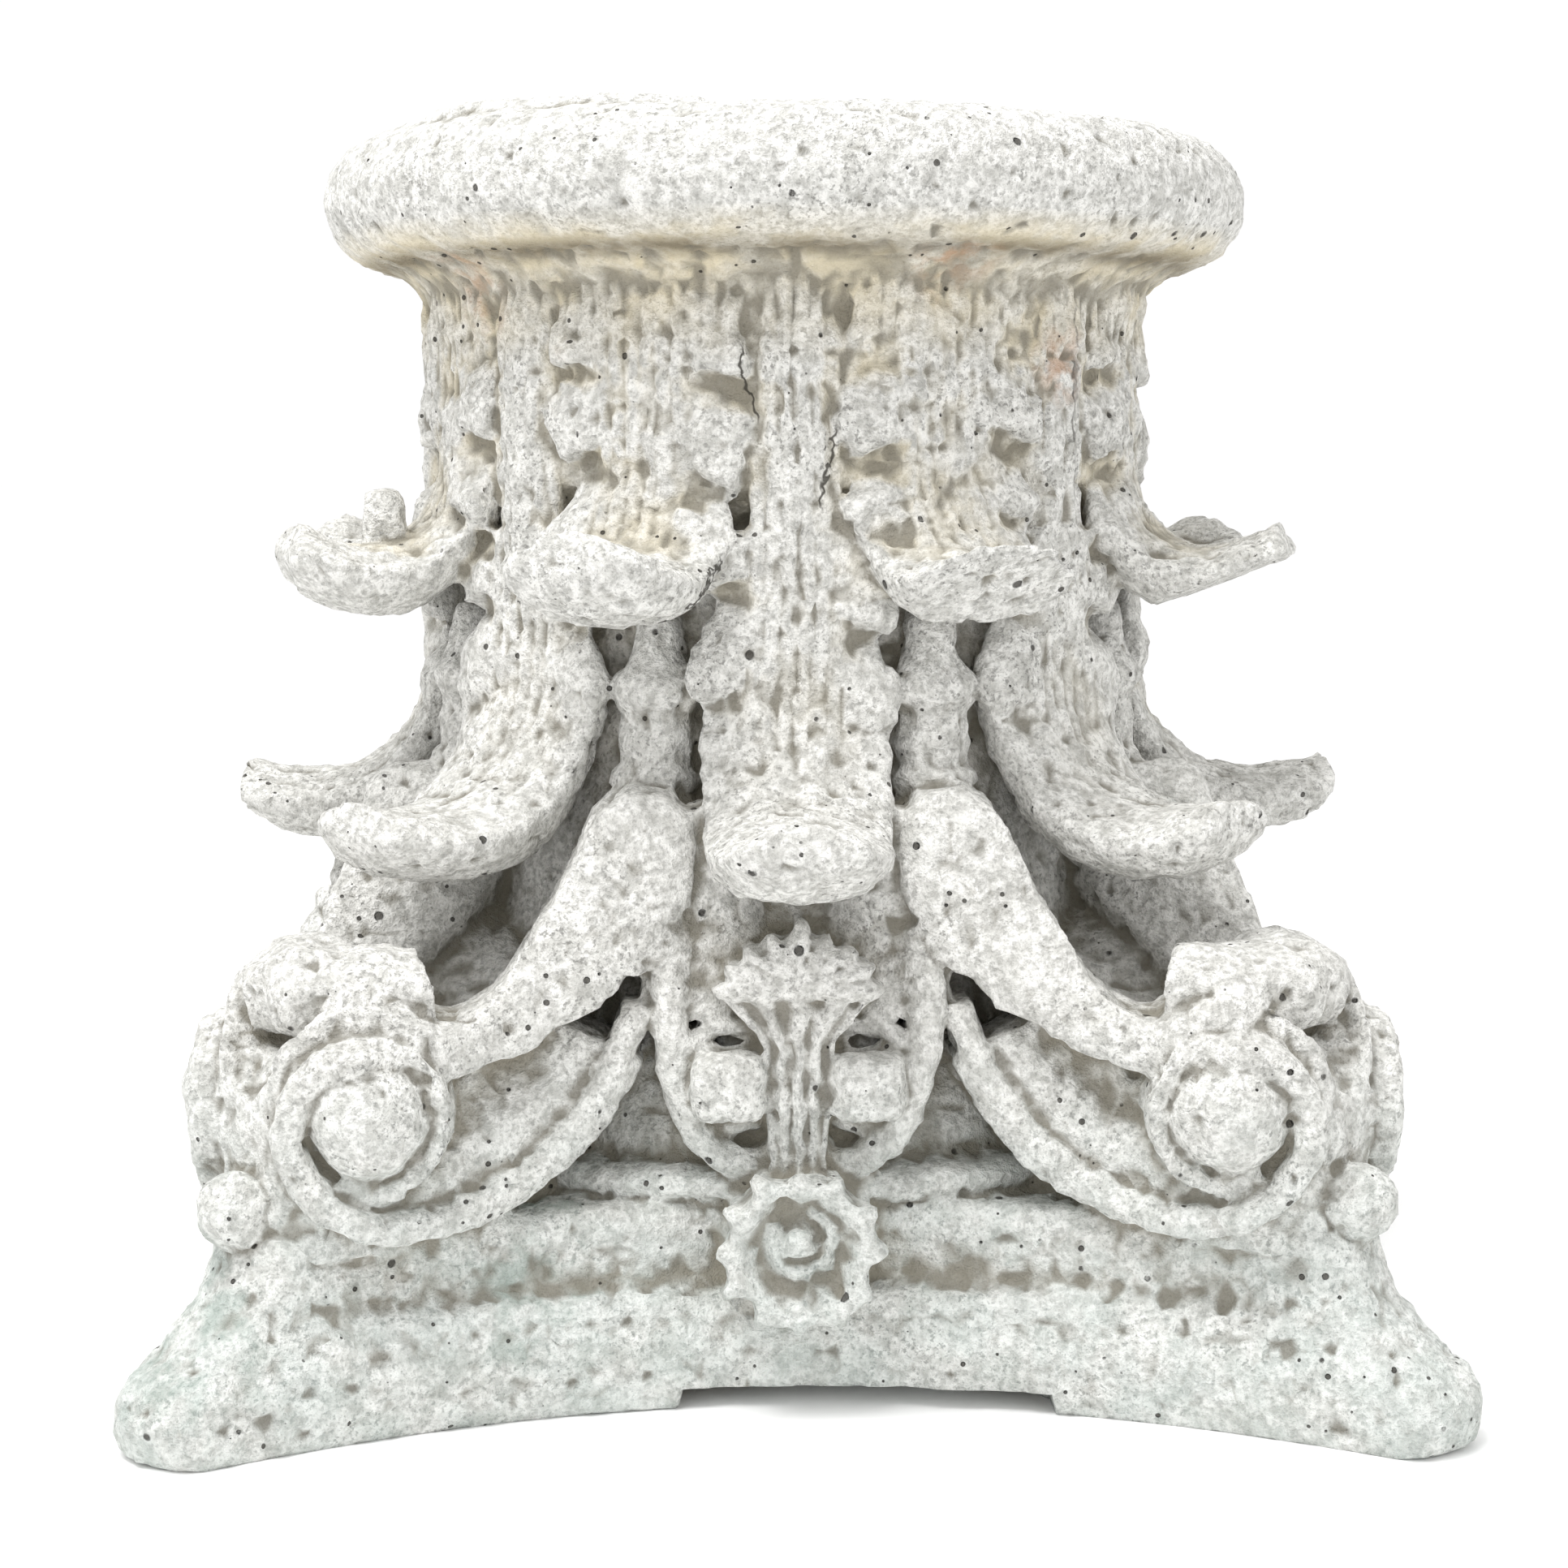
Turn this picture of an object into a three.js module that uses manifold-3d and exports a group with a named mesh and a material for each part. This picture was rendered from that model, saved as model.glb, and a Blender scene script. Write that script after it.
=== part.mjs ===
// A weathered Corinthian capital in cast stone. It lies upside down: it stands on its abacus, and
// the round moulding that joined it to its column is on top. Millimetres, +Z up, the origin in the
// middle of the underside, and one face of the abacus toward -Y.
import * as THREE from 'three';
import { mergeVertices } from 'three/addons/utils/BufferGeometryUtils.js';
import Module from 'manifold-3d';

const wasm = await Module();
wasm.setup();

// Abacus: the four-horned slab that it stands on
const ABACUS_HEIGHT = 70;
const HORN_REACH = 228;          // middle to the outside of a horn, along X or Y
const HORN_CUT = 28;             // how far the blunt end takes the corner off
const HORN_BULGE = 9;            // the blunt end is rounded out by this
const SIDE_REACH = 166;          // middle to the hollow middle of a side
const UPPER_STEP = 12;           // the upper member stands back from the lower one
const HORN_FLARE = 30;           // the horns spread by this from the upper edge to the foot
const LIP_LEVEL = 39;            // where the two members meet

// Bell, neck and the round moulding
const NECK_RADIUS = 119;
const BELL_FLARE = 30;           // the bell widens by this from the neck to its lip
const BELL_LIP_RADIUS = 163;
const BELL_LIP_THICKNESS = 11;
const MOULDING_RADIUS = 176;
const MOULDING_HEIGHT = 51;
const NECK_LENGTH = 303;         // abacus to the hollow under the round moulding
const HOLLOW_HEIGHT = 22;        // the hollow between the neck and the round moulding

// Damage: mortar left on the bed, and a thin recess broken out under the front face
const LUMP_LENGTH = 100;
const LUMP_WIDTH = 68;
const LUMP_HEIGHT = 14;
const LUMP_ACROSS = -78;
const LUMP_OUT = 22;
const LUMP_TURN = -20;
const LUMP_SUNK = 6;             // how far it reaches into the bed
const RECESS_LENGTH = 134;
const RECESS_HEIGHT = 8;
const RECESS_MIDDLE = 16;
const RECESS_DEPTH = 18;         // how far it reaches in under the middle of the side
const RECESS_WIDTH = 60;

// Leaves: eight in each row, hanging from the round moulding and curling out at the tip
const LEAVES_IN_ROW = 8;
const LEAF_ROWS = [
  {
    turn: 22.5,                  // degrees from the front to the first leaf
    face: 138,                   // radius of the ribbed face along the neck
    bend: 322,                   // where the leaf leaves the bell
    dip: 289,                    // lowest level of the hollow of the curl
    reach: 195,                  // radius of the tip
    tip: 303,                    // level of the tip
    stemHalf: 33,
    bladeHalf: 37,
    tipHalf: 33,
    tipDepth: 30,
    wideFrom: 372,               // above this level there is only the stem
  },
  {
    turn: 0,
    face: 139,
    bend: 248,
    dip: 199,
    reach: 214,
    tip: 210,
    stemHalf: 16,
    bladeHalf: 39,
    tipHalf: 35,
    tipDepth: 37,
    wideFrom: 285,
  },
];
const RIB_DEPTH = 3;
const EDGE_NOTCH = 0.86;         // share of the half width left at a notch between two lobes
const LEAF_STATIONS = 8;
const CURL_SHARE = 0.58;         // share of the stations that lie in the curl

// Corner volutes, one on each side of each horn
const EYE_OUT = 144;             // middle of the face to the eye
const EYE_LEVEL = 110;
const EYE_RADIUS = 19;
const VOLUTE_RADIUS = 31;
const BAND_REACH = 64;           // how much wider the band runs where it leaves its stalk
const BAND_FALL = 60;            // degrees in which that falls to about a third
const SPIRAL_LOSS = 0.018;       // the rim draws in by this for each degree
const RIM_WIDTH = 8;
const RIM_HEIGHT = 7;
const FACE_MIDDLE = 147;         // axis to the face of the bands in the middle of a side
const FACE_CORNER = 201;         // axis to the face of the bands at the eye

// Inner spirals, palmette, stem and flower in the middle of each side
const INNER_EYE_OUT = 26;
const INNER_EYE_LEVEL = 117;
const INNER_EYE_RADIUS = 12;
const INNER_BAND = 11;           // width of the band that curls round the inner eye
const INNER_FACE = 166;
const STEM_HALF = 13;
const PALMETTE_HALF = 29;
const PALMETTE_BASE = 142;
const PALMETTE_HEIGHT = 26;
const FLOWER_RADIUS = 31;
const FLOWER_LEVEL = 60;
const FLOWER_REACH = 187;        // axis to the front of the flower
const FLOWER_LOBES = 7;
const FLOWER_DEPTH = 50;
const PETAL_HOLLOW = 7;          // how deep the middle of the flower lies
const BEAD_RADIUS = 12;          // bead on each horn, under the corner leaf

// Stalks that the spirals grow from, between the leaves of the lower row
const STALK_OUT = 47;
const STALK_RADIUS = 17;
const STALK_FOOT = 205;
const STALK_HEIGHT = 68;

// Derived levels and angles
const NECK_TOP = ABACUS_HEIGHT + NECK_LENGTH;
const MOULDING_FOOT = NECK_TOP + HOLLOW_HEIGHT;
const BED_LEVEL = MOULDING_FOOT + MOULDING_HEIGHT;
const HALF_MOULDING = MOULDING_HEIGHT / 2;
const BED_RADIUS = MOULDING_RADIUS - HALF_MOULDING;
const SIDES = 4;
const ROUND_SEGMENTS = 22;
const DEGREE = Math.PI / 180;
const UPWARD = new THREE.Vector3(0, 0, 1);

// Turns a closed geometry into a solid, facing outward.
function solid(geometry) {
  const bare = geometry.clone();
  bare.deleteAttribute('normal');
  bare.deleteAttribute('uv');
  const merged = mergeVertices(bare, 1e-4);
  const points = merged.attributes.position.array;
  const order = Array.from(merged.index.array);
  let volume = 0;
  const corner = [new THREE.Vector3(), new THREE.Vector3(), new THREE.Vector3()];
  for (let i = 0; i < order.length; i += 3) {
    corner.forEach((p, j) => p.fromArray(points, order[i + j] * 3));
    volume += corner[0].dot(corner[1].cross(corner[2]));
  }
  if (volume < 0) {
    order.reverse();
  }
  return new wasm.Manifold(new wasm.Mesh({
    numProp: 3,
    vertProperties: Float32Array.from(points),
    triVerts: Uint32Array.from(order),
  }));
}

// A closed shell over a row of closed rings that all have the same number of points.
function shell(rings) {
  const count = rings[0].length;
  const points = [];
  const order = [];
  rings.forEach((ring) => ring.forEach((p) => points.push(p.x, p.y, p.z)));
  for (let i = 0; i < rings.length - 1; i += 1) {
    for (let j = 0; j < count; j += 1) {
      const a = i * count + j;
      const b = i * count + ((j + 1) % count);
      order.push(a, b, b + count, a, b + count, a + count);
    }
  }
  [0, rings.length - 1].forEach((end) => {
    const middle = new THREE.Vector3();
    rings[end].forEach((p) => middle.addScaledVector(p, 1 / count));
    const hub = points.length / 3;
    points.push(middle.x, middle.y, middle.z);
    for (let j = 0; j < count; j += 1) {
      const a = end * count + j;
      const b = end * count + ((j + 1) % count);
      order.push(...(end === 0 ? [hub, b, a] : [hub, a, b]));
    }
  });
  const geometry = new THREE.BufferGeometry();
  geometry.setAttribute('position', new THREE.Float32BufferAttribute(points, 3));
  geometry.setIndex(order);
  return solid(geometry);
}

// A turned solid about +Z from pairs of radius and level.
function turned(profile, segments) {
  const geometry = new THREE.LatheGeometry(profile.map(([r, z]) => new THREE.Vector2(r, z)), segments);
  return solid(geometry.rotateX(Math.PI / 2));
}

const smooth = (from, to, x) => THREE.MathUtils.smoothstep(x, from, to);
const blend = THREE.MathUtils.lerp;

// Radius of the plain bell at a level, from the neck down to just above its lip.
function bellRadius(level) {
  const drop = Math.max(0, (NECK_TOP - level) / NECK_LENGTH);
  return NECK_RADIUS + BELL_FLARE * drop ** 3;
}

function bellAndMoulding() {
  const profile = [[0, ABACUS_HEIGHT / 2], [BELL_LIP_RADIUS - UPPER_STEP, ABACUS_HEIGHT / 2]];
  const lipMiddle = ABACUS_HEIGHT + BELL_LIP_THICKNESS / 2;
  for (let angle = -90; angle <= 90; angle += 45) {
    const out = Math.cos(angle * DEGREE) * BELL_LIP_THICKNESS;
    const up = Math.sin(angle * DEGREE) * BELL_LIP_THICKNESS / 2;
    profile.push([BELL_LIP_RADIUS - BELL_LIP_THICKNESS + out, lipMiddle + up]);
  }
  for (let step = 1; step <= 4; step += 1) {
    const level = blend(ABACUS_HEIGHT + BELL_LIP_THICKNESS, NECK_TOP, (step / 4) ** 1.4);
    profile.push([bellRadius(level), level]);
  }
  const hollowOut = BED_RADIUS + 6;
  profile.push([blend(NECK_RADIUS, hollowOut, 0.45), NECK_TOP + HOLLOW_HEIGHT * 0.35]);
  profile.push([blend(NECK_RADIUS, hollowOut, 0.8), NECK_TOP + HOLLOW_HEIGHT * 0.75]);
  for (let angle = -70; angle <= 90; angle += 32) {
    const out = Math.cos(angle * DEGREE) * HALF_MOULDING;
    const up = Math.sin(angle * DEGREE) * HALF_MOULDING;
    profile.push([BED_RADIUS + out, MOULDING_FOOT + HALF_MOULDING + up]);
  }
  profile.push([0, BED_LEVEL]);
  return turned(profile, ROUND_SEGMENTS);
}

// Outline of the abacus at one level: four hollow sides and four blunt, rounded horns.
function abacusOutline(level, horn, side) {
  const outline = [];
  const end = horn - HORN_CUT;
  const stepsPerSide = 6;
  for (let turn = 0; turn < SIDES; turn += 1) {
    for (let step = 0; step <= stepsPerSide; step += 1) {
      const along = blend(-end, end, step / stepsPerSide);
      const out = side + (horn - side) * (along / end) ** 2;
      outline.push(new THREE.Vector3(along, -out, level).applyAxisAngle(UPWARD, turn * 90 * DEGREE));
    }
    const blunt = (horn + end) / 2 + HORN_BULGE;
    outline.push(new THREE.Vector3(blunt, -blunt, level).applyAxisAngle(UPWARD, turn * 90 * DEGREE));
  }
  return outline;
}

function abacus() {
  const upperHorn = HORN_REACH - HORN_FLARE;
  const upperSide = SIDE_REACH - UPPER_STEP;
  const levels = [
    [0, HORN_REACH - 2, SIDE_REACH - 3],
    [LIP_LEVEL * 0.4, HORN_REACH, SIDE_REACH],
    [LIP_LEVEL * 0.82, blend(HORN_REACH, upperHorn, 0.42), SIDE_REACH - 3],
    [LIP_LEVEL, blend(HORN_REACH, upperHorn, 0.62), SIDE_REACH - 4],
    [LIP_LEVEL + 4, blend(HORN_REACH, upperHorn, 0.75), upperSide + 1],
    [ABACUS_HEIGHT - 5, upperHorn, upperSide],
    [ABACUS_HEIGHT, upperHorn - 4, upperSide - 4],
  ];
  return shell(levels.map(([level, horn, side]) => abacusOutline(level, horn, side)));
}

// The ribbed face of a leaf seen from the side: down the bell, then out along the curl.
function leafSpine(row) {
  const blade = new THREE.LineCurve(
    new THREE.Vector2(row.face, NECK_TOP + HOLLOW_HEIGHT / 2),
    new THREE.Vector2(row.face, row.bend),
  );
  const curl = new THREE.CubicBezierCurve(
    new THREE.Vector2(row.face, row.bend),
    new THREE.Vector2(row.face + 6, blend(row.bend, row.dip, 0.8)),
    new THREE.Vector2(blend(row.face, row.reach, 0.45), row.dip - 4),
    new THREE.Vector2(row.reach, row.tip),
  );
  return { blade, curl };
}

// One leaf in its place on the front, before it is turned round the bell.
function leaf(row) {
  const { blade, curl } = leafSpine(row);
  const rings = [];
  const last = LEAF_STATIONS - 1;
  for (let i = 0; i <= last; i += 1) {
    const t = i / last;
    const inCurl = Math.max(0, (t - 1 + CURL_SHARE) / CURL_SHARE);
    const path = inCurl > 0 ? curl : blade;
    const u = inCurl > 0 ? inCurl : t / (1 - CURL_SHARE);
    const place = path.getPoint(u);
    const along = path.getTangent(Math.min(u, 0.999));
    const face = new THREE.Vector2(-along.y, along.x);
    const wide = smooth(row.wideFrom + 12, row.wideFrom - 22, place.y);
    let half = blend(row.stemHalf, row.bladeHalf, wide);
    half = blend(half, row.tipHalf, smooth(0.1, 0.6, inCurl));
    const closing = Math.sqrt(Math.max(0, 1 - (Math.max(0, inCurl - 0.62) / 0.38) ** 2.4));
    half *= blend(0.6, 1, closing);
    if (wide > 0.5 && inCurl < 0.7 && i % 2 === 1) {
      half *= EDGE_NOTCH;
    }
    const depth = blend(20, row.tipDepth, smooth(0.1, 0.7, inCurl)) * blend(0.3, 1, closing);
    const droop = blend(6, 10, inCurl);
    const ring = [];
    const across = 2;
    for (let j = -across; j <= across; j += 1) {
      const share = j / across;
      const rib = j % 2 === 0 ? RIB_DEPTH / 2 : -RIB_DEPTH / 2;
      const lift = rib * (1 - inCurl) - droop * share * share;
      const out = place.x + face.x * lift;
      ring.push(new THREE.Vector3(half * share, -out, place.y + face.y * lift));
    }
    [0.5, -0.5].forEach((share) => {
      ring.push(new THREE.Vector3(half * share, -(place.x - face.x * depth), place.y - face.y * depth));
    });
    rings.push(ring);
  }
  return shell(rings);
}

// Two leaves of the first row are damaged: one tip is split off flat and one is worn thin.
function splitTip(whole, row) {
  const facing = new THREE.Vector3(0, 0.66, 0.75).normalize();
  const edge = new THREE.Vector3(0, -(row.reach - 9), row.dip + 4);
  const below = whole.trimByPlane([facing.x, facing.y, facing.z], facing.dot(edge));
  return below.trimByPlane([0, 1, 0.12], -(row.reach - 9) + 0.12 * (row.dip + 4));
}

function wornTip(whole, row) {
  const facing = new THREE.Vector3(0, 0.36, 0.93).normalize();
  const edge = new THREE.Vector3(0, -row.reach, row.tip - 12);
  return whole.trimByPlane([facing.x, facing.y, facing.z], facing.dot(edge));
}

function leaves() {
  const all = [];
  LEAF_ROWS.forEach((row, level) => {
    const whole = leaf(row);
    for (let i = 0; i < LEAVES_IN_ROW; i += 1) {
      let one = whole;
      if (level === 0 && i === 0) {
        one = splitTip(whole, row);
      }
      if (level === 0 && i === 1) {
        one = wornTip(whole, row);
      }
      all.push(one.rotate([0, 0, row.turn + i * 360 / LEAVES_IN_ROW]));
    }
  });
  return all;
}

// Distance from the axis to the face of the bands, at a place along a side.
function faceReach(along) {
  return FACE_MIDDLE + (FACE_CORNER - FACE_MIDDLE) * (along / EYE_OUT) ** 2;
}

// A strip laid on a face: stations of place, level, half width, height of the crown and depth.
function strip(stations) {
  const rings = stations.map((here, i) => {
    const before = stations[Math.max(0, i - 1)];
    const after = stations[Math.min(stations.length - 1, i + 1)];
    const way = new THREE.Vector2(after.along - before.along, after.level - before.level).normalize();
    const side = new THREE.Vector2(-way.y, way.x);
    const point = (share, reach) => new THREE.Vector3(
      here.along + side.x * share * here.half,
      -reach,
      here.level + side.y * share * here.half,
    );
    const front = faceReach(here.along) + (here.rise ?? 0);
    const back = front - here.depth;
    if (here.crown === 0) {
      return [point(-1, back), point(-0.5, front), point(0.5, front), point(1, back)];
    }
    return [
      point(-1, back), point(-1, front - here.crown), point(0, front), point(1, front - here.crown), point(1, back),
    ];
  });
  return shell(rings);
}

// Rim of the volute: distance from the eye after a turn in degrees.
function rimDistance(turn) {
  return VOLUTE_RADIUS - SPIRAL_LOSS * turn + BAND_REACH * Math.exp(-turn / BAND_FALL);
}

function rimPoint(turn, inset) {
  const angle = (15 - turn) * DEGREE;
  const distance = rimDistance(turn) - inset;
  return new THREE.Vector2(-EYE_OUT + Math.cos(angle) * distance, EYE_LEVEL + Math.sin(angle) * distance);
}

// Left corner volute of the front face.
function volute() {
  const rim = [];
  for (let turn = 4; turn <= 360; turn += turn < 100 ? 32 : 52) {
    const place = rimPoint(turn, RIM_WIDTH / 2);
    rim.push({ along: place.x, level: place.y, half: RIM_WIDTH / 2, crown: 0, depth: 14, rise: RIM_HEIGHT });
  }
  const floor = [];
  for (let turn = 0; turn <= 120; turn += 40) {
    const outer = rimPoint(turn, 1);
    const reach = Math.min(rimDistance(turn) - EYE_RADIUS * 0.5, 46);
    const inner = rimPoint(turn, reach);
    floor.push({
      along: (outer.x + inner.x) / 2,
      level: (outer.y + inner.y) / 2,
      half: outer.distanceTo(inner) / 2,
      crown: 0,
      depth: 34,
    });
  }
  const drum = new THREE.CylinderGeometry(VOLUTE_RADIUS - 3, VOLUTE_RADIUS - 3, 52, 8);
  const eye = new THREE.SphereGeometry(EYE_RADIUS, 7, 4);
  const eyeReach = faceReach(EYE_OUT);
  return [
    strip(rim),
    strip(floor),
    solid(drum).translate([-EYE_OUT, -(eyeReach - 26), EYE_LEVEL]),
    solid(eye).translate([-EYE_OUT, -(eyeReach - 3), EYE_LEVEL]),
  ];
}

// Leafy sheath from the stalk to the curled knob over the volute.
function sheath() {
  const eyeTop = EYE_LEVEL + VOLUTE_RADIUS;
  return strip([
    { along: -STALK_OUT - 2, level: STALK_FOOT + 6, half: 9, crown: 6, depth: 60, rise: -4 },
    { along: -STALK_OUT - 4, level: STALK_FOOT - 8, half: 19, crown: 8, depth: 60, rise: 4 },
    { along: -STALK_OUT - 9, level: STALK_FOOT - 34, half: 21, crown: 6, depth: 60, rise: 5 },
    { along: -75, level: blend(eyeTop, STALK_FOOT, 0.24), half: 19, crown: 5, depth: 55, rise: 6 },
    { along: -110, level: eyeTop - 5, half: 13, crown: 5, depth: 45, rise: 6 },
    { along: -146, level: eyeTop + 6, half: 15, crown: 8, depth: 46, rise: 5 },
    { along: -172, level: eyeTop + 12, half: 14, crown: 8, depth: 60, rise: -8 },
    { along: -190, level: eyeTop + 12, half: 8, crown: 6, depth: 40, rise: -26 },
  ]);
}

// The inner spiral beside the stem.
function innerSpiral() {
  const half = INNER_BAND / 2;
  const place = (along, level, rise) => ({ along, level, half, crown: 0, depth: 26, rise });
  const eye = new THREE.SphereGeometry(INNER_EYE_RADIUS, 5, 4);
  const outer = INNER_EYE_OUT + 19;
  return [
    strip([
      place(-outer - 1, INNER_EYE_LEVEL + 34, 10),
      place(-outer, INNER_EYE_LEVEL + 8, 12),
      place(-outer + 6, INNER_EYE_LEVEL - 14, 13),
      place(-outer + 20, INNER_EYE_LEVEL - 28, 14),
      place(-outer + 38, INNER_EYE_LEVEL - 24, 14),
    ]),
    solid(eye).scale([1, 1.3, 1]).translate([-INNER_EYE_OUT, -(INNER_FACE - 4), INNER_EYE_LEVEL]),
  ];
}

// Fluted stem with the palmette that leans out over it.
function stemAndPalmette() {
  const foot = INNER_EYE_LEVEL - 28;
  const stem = [];
  [[foot, 0.7, 0], [INNER_EYE_LEVEL - 10, 0.9, 3], [PALMETTE_BASE, 1, 5]].forEach(([level, share, out]) => {
    const ring = [];
    for (let j = -2; j <= 2; j += 1) {
      const groove = j % 2 === 0 ? 0 : 3;
      ring.push(new THREE.Vector3(STEM_HALF * share * j / 2, -(INNER_FACE + 4 + out - groove), level));
    }
    ring.push(new THREE.Vector3(STEM_HALF * share, -BELL_LIP_RADIUS + 40, level));
    ring.push(new THREE.Vector3(-STEM_HALF * share, -BELL_LIP_RADIUS + 40, level));
    stem.push(ring);
  });
  const fan = [];
  const points = 4;
  for (let i = 0; i <= points * 2; i += 1) {
    const angle = (180 - i * 90 / points) * DEGREE;
    const tooth = i % 2 === 0 ? 1 : 0.8;
    fan.push([PALMETTE_HALF * Math.cos(angle) * tooth, PALMETTE_HEIGHT * Math.sin(angle) * tooth]);
  }
  const face = (out, lift, size) => fan.map(([along, up]) => (
    new THREE.Vector3(along * size, -(INNER_FACE + out), PALMETTE_BASE + lift + up * size)
  ));
  return [
    shell(stem),
    shell([face(-36, 0, 0.9), face(6, 0, 1), face(13, 2, 0.8)]),
  ];
}

// Flower on the middle of a side: notched petals round a ring and a bud.
function flower() {
  const ring = (out, outer, inner) => {
    const points = [];
    for (let i = 0; i < FLOWER_LOBES * 2; i += 1) {
      const angle = i * 180 / FLOWER_LOBES * DEGREE;
      const radius = i % 2 === 0 ? outer : inner;
      points.push(new THREE.Vector3(Math.cos(angle) * radius, -out, FLOWER_LEVEL + Math.sin(angle) * radius));
    }
    return points;
  };
  const front = FLOWER_REACH;
  const petals = shell([
    ring(front - FLOWER_DEPTH, FLOWER_RADIUS * 0.9, FLOWER_RADIUS * 0.8),
    ring(front, FLOWER_RADIUS * 0.9, FLOWER_RADIUS * 0.76),
    ring(front - PETAL_HOLLOW, FLOWER_RADIUS * 0.5, FLOWER_RADIUS * 0.5),
  ]);
  const bud = new THREE.SphereGeometry(FLOWER_RADIUS * 0.32, 5, 4);
  return [petals, solid(bud).translate([0, -(front - 5), FLOWER_LEVEL])];
}

// Stalk with two collars, leaning on the bell.
function stalk() {
  const top = STALK_FOOT + STALK_HEIGHT;
  const profile = [
    [0, STALK_FOOT], [STALK_RADIUS, STALK_FOOT], [STALK_RADIUS * 1.2, STALK_FOOT + 10],
    [STALK_RADIUS * 0.9, STALK_FOOT + 15], [STALK_RADIUS * 1.2, top - 28], [STALK_RADIUS * 0.7, top - 20],
    [STALK_RADIUS * 0.5, top], [0, top],
  ];
  const out = Math.sqrt((NECK_RADIUS + STALK_RADIUS * 0.6) ** 2 - STALK_OUT ** 2);
  return turned(profile, 5).translate([-STALK_OUT, -out, 0]);
}

// Web under the corner leaf that joins the two volutes of a horn.
function cornerWeb() {
  const along = new THREE.Vector3(1, -1, 0).normalize();
  const aside = new THREE.Vector3(1, 1, 0).normalize();
  const foot = ABACUS_HEIGHT - 8;
  const sections = [[125, 154, 30], [177, 126, 34], [240, 132, 28], [262, 118, 16]];
  return shell(sections.map(([out, level, half]) => [
    [-half, foot], [half, foot], [half, level + 8], [0, level], [-half, level + 8],
  ].map(([across, height]) => (
    new THREE.Vector3(0, 0, height).addScaledVector(along, out).addScaledVector(aside, across)
  ))));
}

function cornerBead() {
  const bead = new THREE.SphereGeometry(BEAD_RADIUS, 5, 4);
  const out = HORN_REACH - HORN_FLARE - HORN_BULGE;
  return solid(bead).translate([out, -out, ABACUS_HEIGHT + BEAD_RADIUS / 2]);
}

// Everything on one side of the capital, with its right-hand horn.
function side() {
  const half = [...volute(), sheath(), ...innerSpiral(), stalk()];
  const mirrored = half.map((piece) => piece.mirror([1, 0, 0]));
  return [...half, ...mirrored, ...stemAndPalmette(), ...flower(), cornerWeb(), cornerBead()];
}

// Mortar left on the bed.
function lump() {
  const heap = new THREE.SphereGeometry(1, 9, 6);
  return solid(heap)
    .scale([LUMP_LENGTH / 2, LUMP_WIDTH / 2, LUMP_HEIGHT + LUMP_SUNK])
    .rotate([0, 0, LUMP_TURN])
    .translate([LUMP_ACROSS, -LUMP_OUT, BED_LEVEL - LUMP_SUNK]);
}

// The foot of the front face is broken out to a thin recess.
function footRecess() {
  const recess = new THREE.BoxGeometry(RECESS_LENGTH, RECESS_WIDTH, 2 * RECESS_HEIGHT);
  return solid(recess).translate([RECESS_MIDDLE, RECESS_DEPTH - SIDE_REACH - RECESS_WIDTH / 2, 0]);
}

function capital() {
  const pieces = [bellAndMoulding(), abacus(), lump(), ...leaves()];
  const oneSide = side();
  for (let turn = 0; turn < SIDES; turn += 1) {
    oneSide.forEach((piece) => pieces.push(piece.rotate([0, 0, turn * 360 / SIDES])));
  }
  return wasm.Manifold.union(pieces).subtract(footRecess());
}

// Back to a three.js geometry, keeping only the one outer body.
function toGeometry(whole) {
  const body = whole.simplify(2).decompose().sort((a, b) => b.volume() - a.volume())[0];
  const mesh = body.getMesh();
  const geometry = new THREE.BufferGeometry();
  geometry.setAttribute('position', new THREE.BufferAttribute(Float32Array.from(mesh.vertProperties), 3));
  geometry.setIndex(Array.from(mesh.triVerts));
  geometry.computeVertexNormals();
  return geometry;
}

const castStone = new THREE.MeshStandardMaterial({
  color: 0xd9d6cd,
  roughness: 0.95,
  metalness: 0,
  flatShading: true,
});

const group = new THREE.Group();
const mesh = new THREE.Mesh(toGeometry(capital()), castStone);
mesh.name = 'capital';
group.add(mesh);

export default group;
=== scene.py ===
"""A weathered Corinthian capital in cast stone, lying upside down on its abacus.

Every form is first a closed shell worked out from the sizes below, in millimetres. What repeats
round the axis is turned into place by a Geometry Nodes tree. All shells are then remeshed into
one skin, worn and pitted, and brought down to one light mesh.
"""
import math
from functools import partial

import bpy
import numpy as np
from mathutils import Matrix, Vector


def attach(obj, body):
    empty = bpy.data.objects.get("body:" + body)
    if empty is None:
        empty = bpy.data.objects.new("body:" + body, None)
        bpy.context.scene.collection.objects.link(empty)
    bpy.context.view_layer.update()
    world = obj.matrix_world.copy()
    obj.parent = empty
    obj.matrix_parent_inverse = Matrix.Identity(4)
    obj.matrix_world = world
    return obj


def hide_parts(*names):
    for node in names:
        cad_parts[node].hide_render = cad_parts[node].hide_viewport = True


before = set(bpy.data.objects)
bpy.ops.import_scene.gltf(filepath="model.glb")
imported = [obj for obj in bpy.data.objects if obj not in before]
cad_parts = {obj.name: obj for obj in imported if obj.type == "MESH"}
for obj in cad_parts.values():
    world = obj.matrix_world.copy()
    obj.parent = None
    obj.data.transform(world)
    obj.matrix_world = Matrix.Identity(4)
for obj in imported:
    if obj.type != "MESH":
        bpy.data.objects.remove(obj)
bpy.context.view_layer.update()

MM = 0.001
VOXEL = 1.35
MOST_TRIANGLES = 196000

# Abacus
ABACUS_HEIGHT = 70
HORN_REACH = 228
HORN_CUT = 28
SIDE_REACH = 166
UPPER_STEP = 12
HORN_FLARE = 30
LIP_LEVEL = 39

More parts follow.
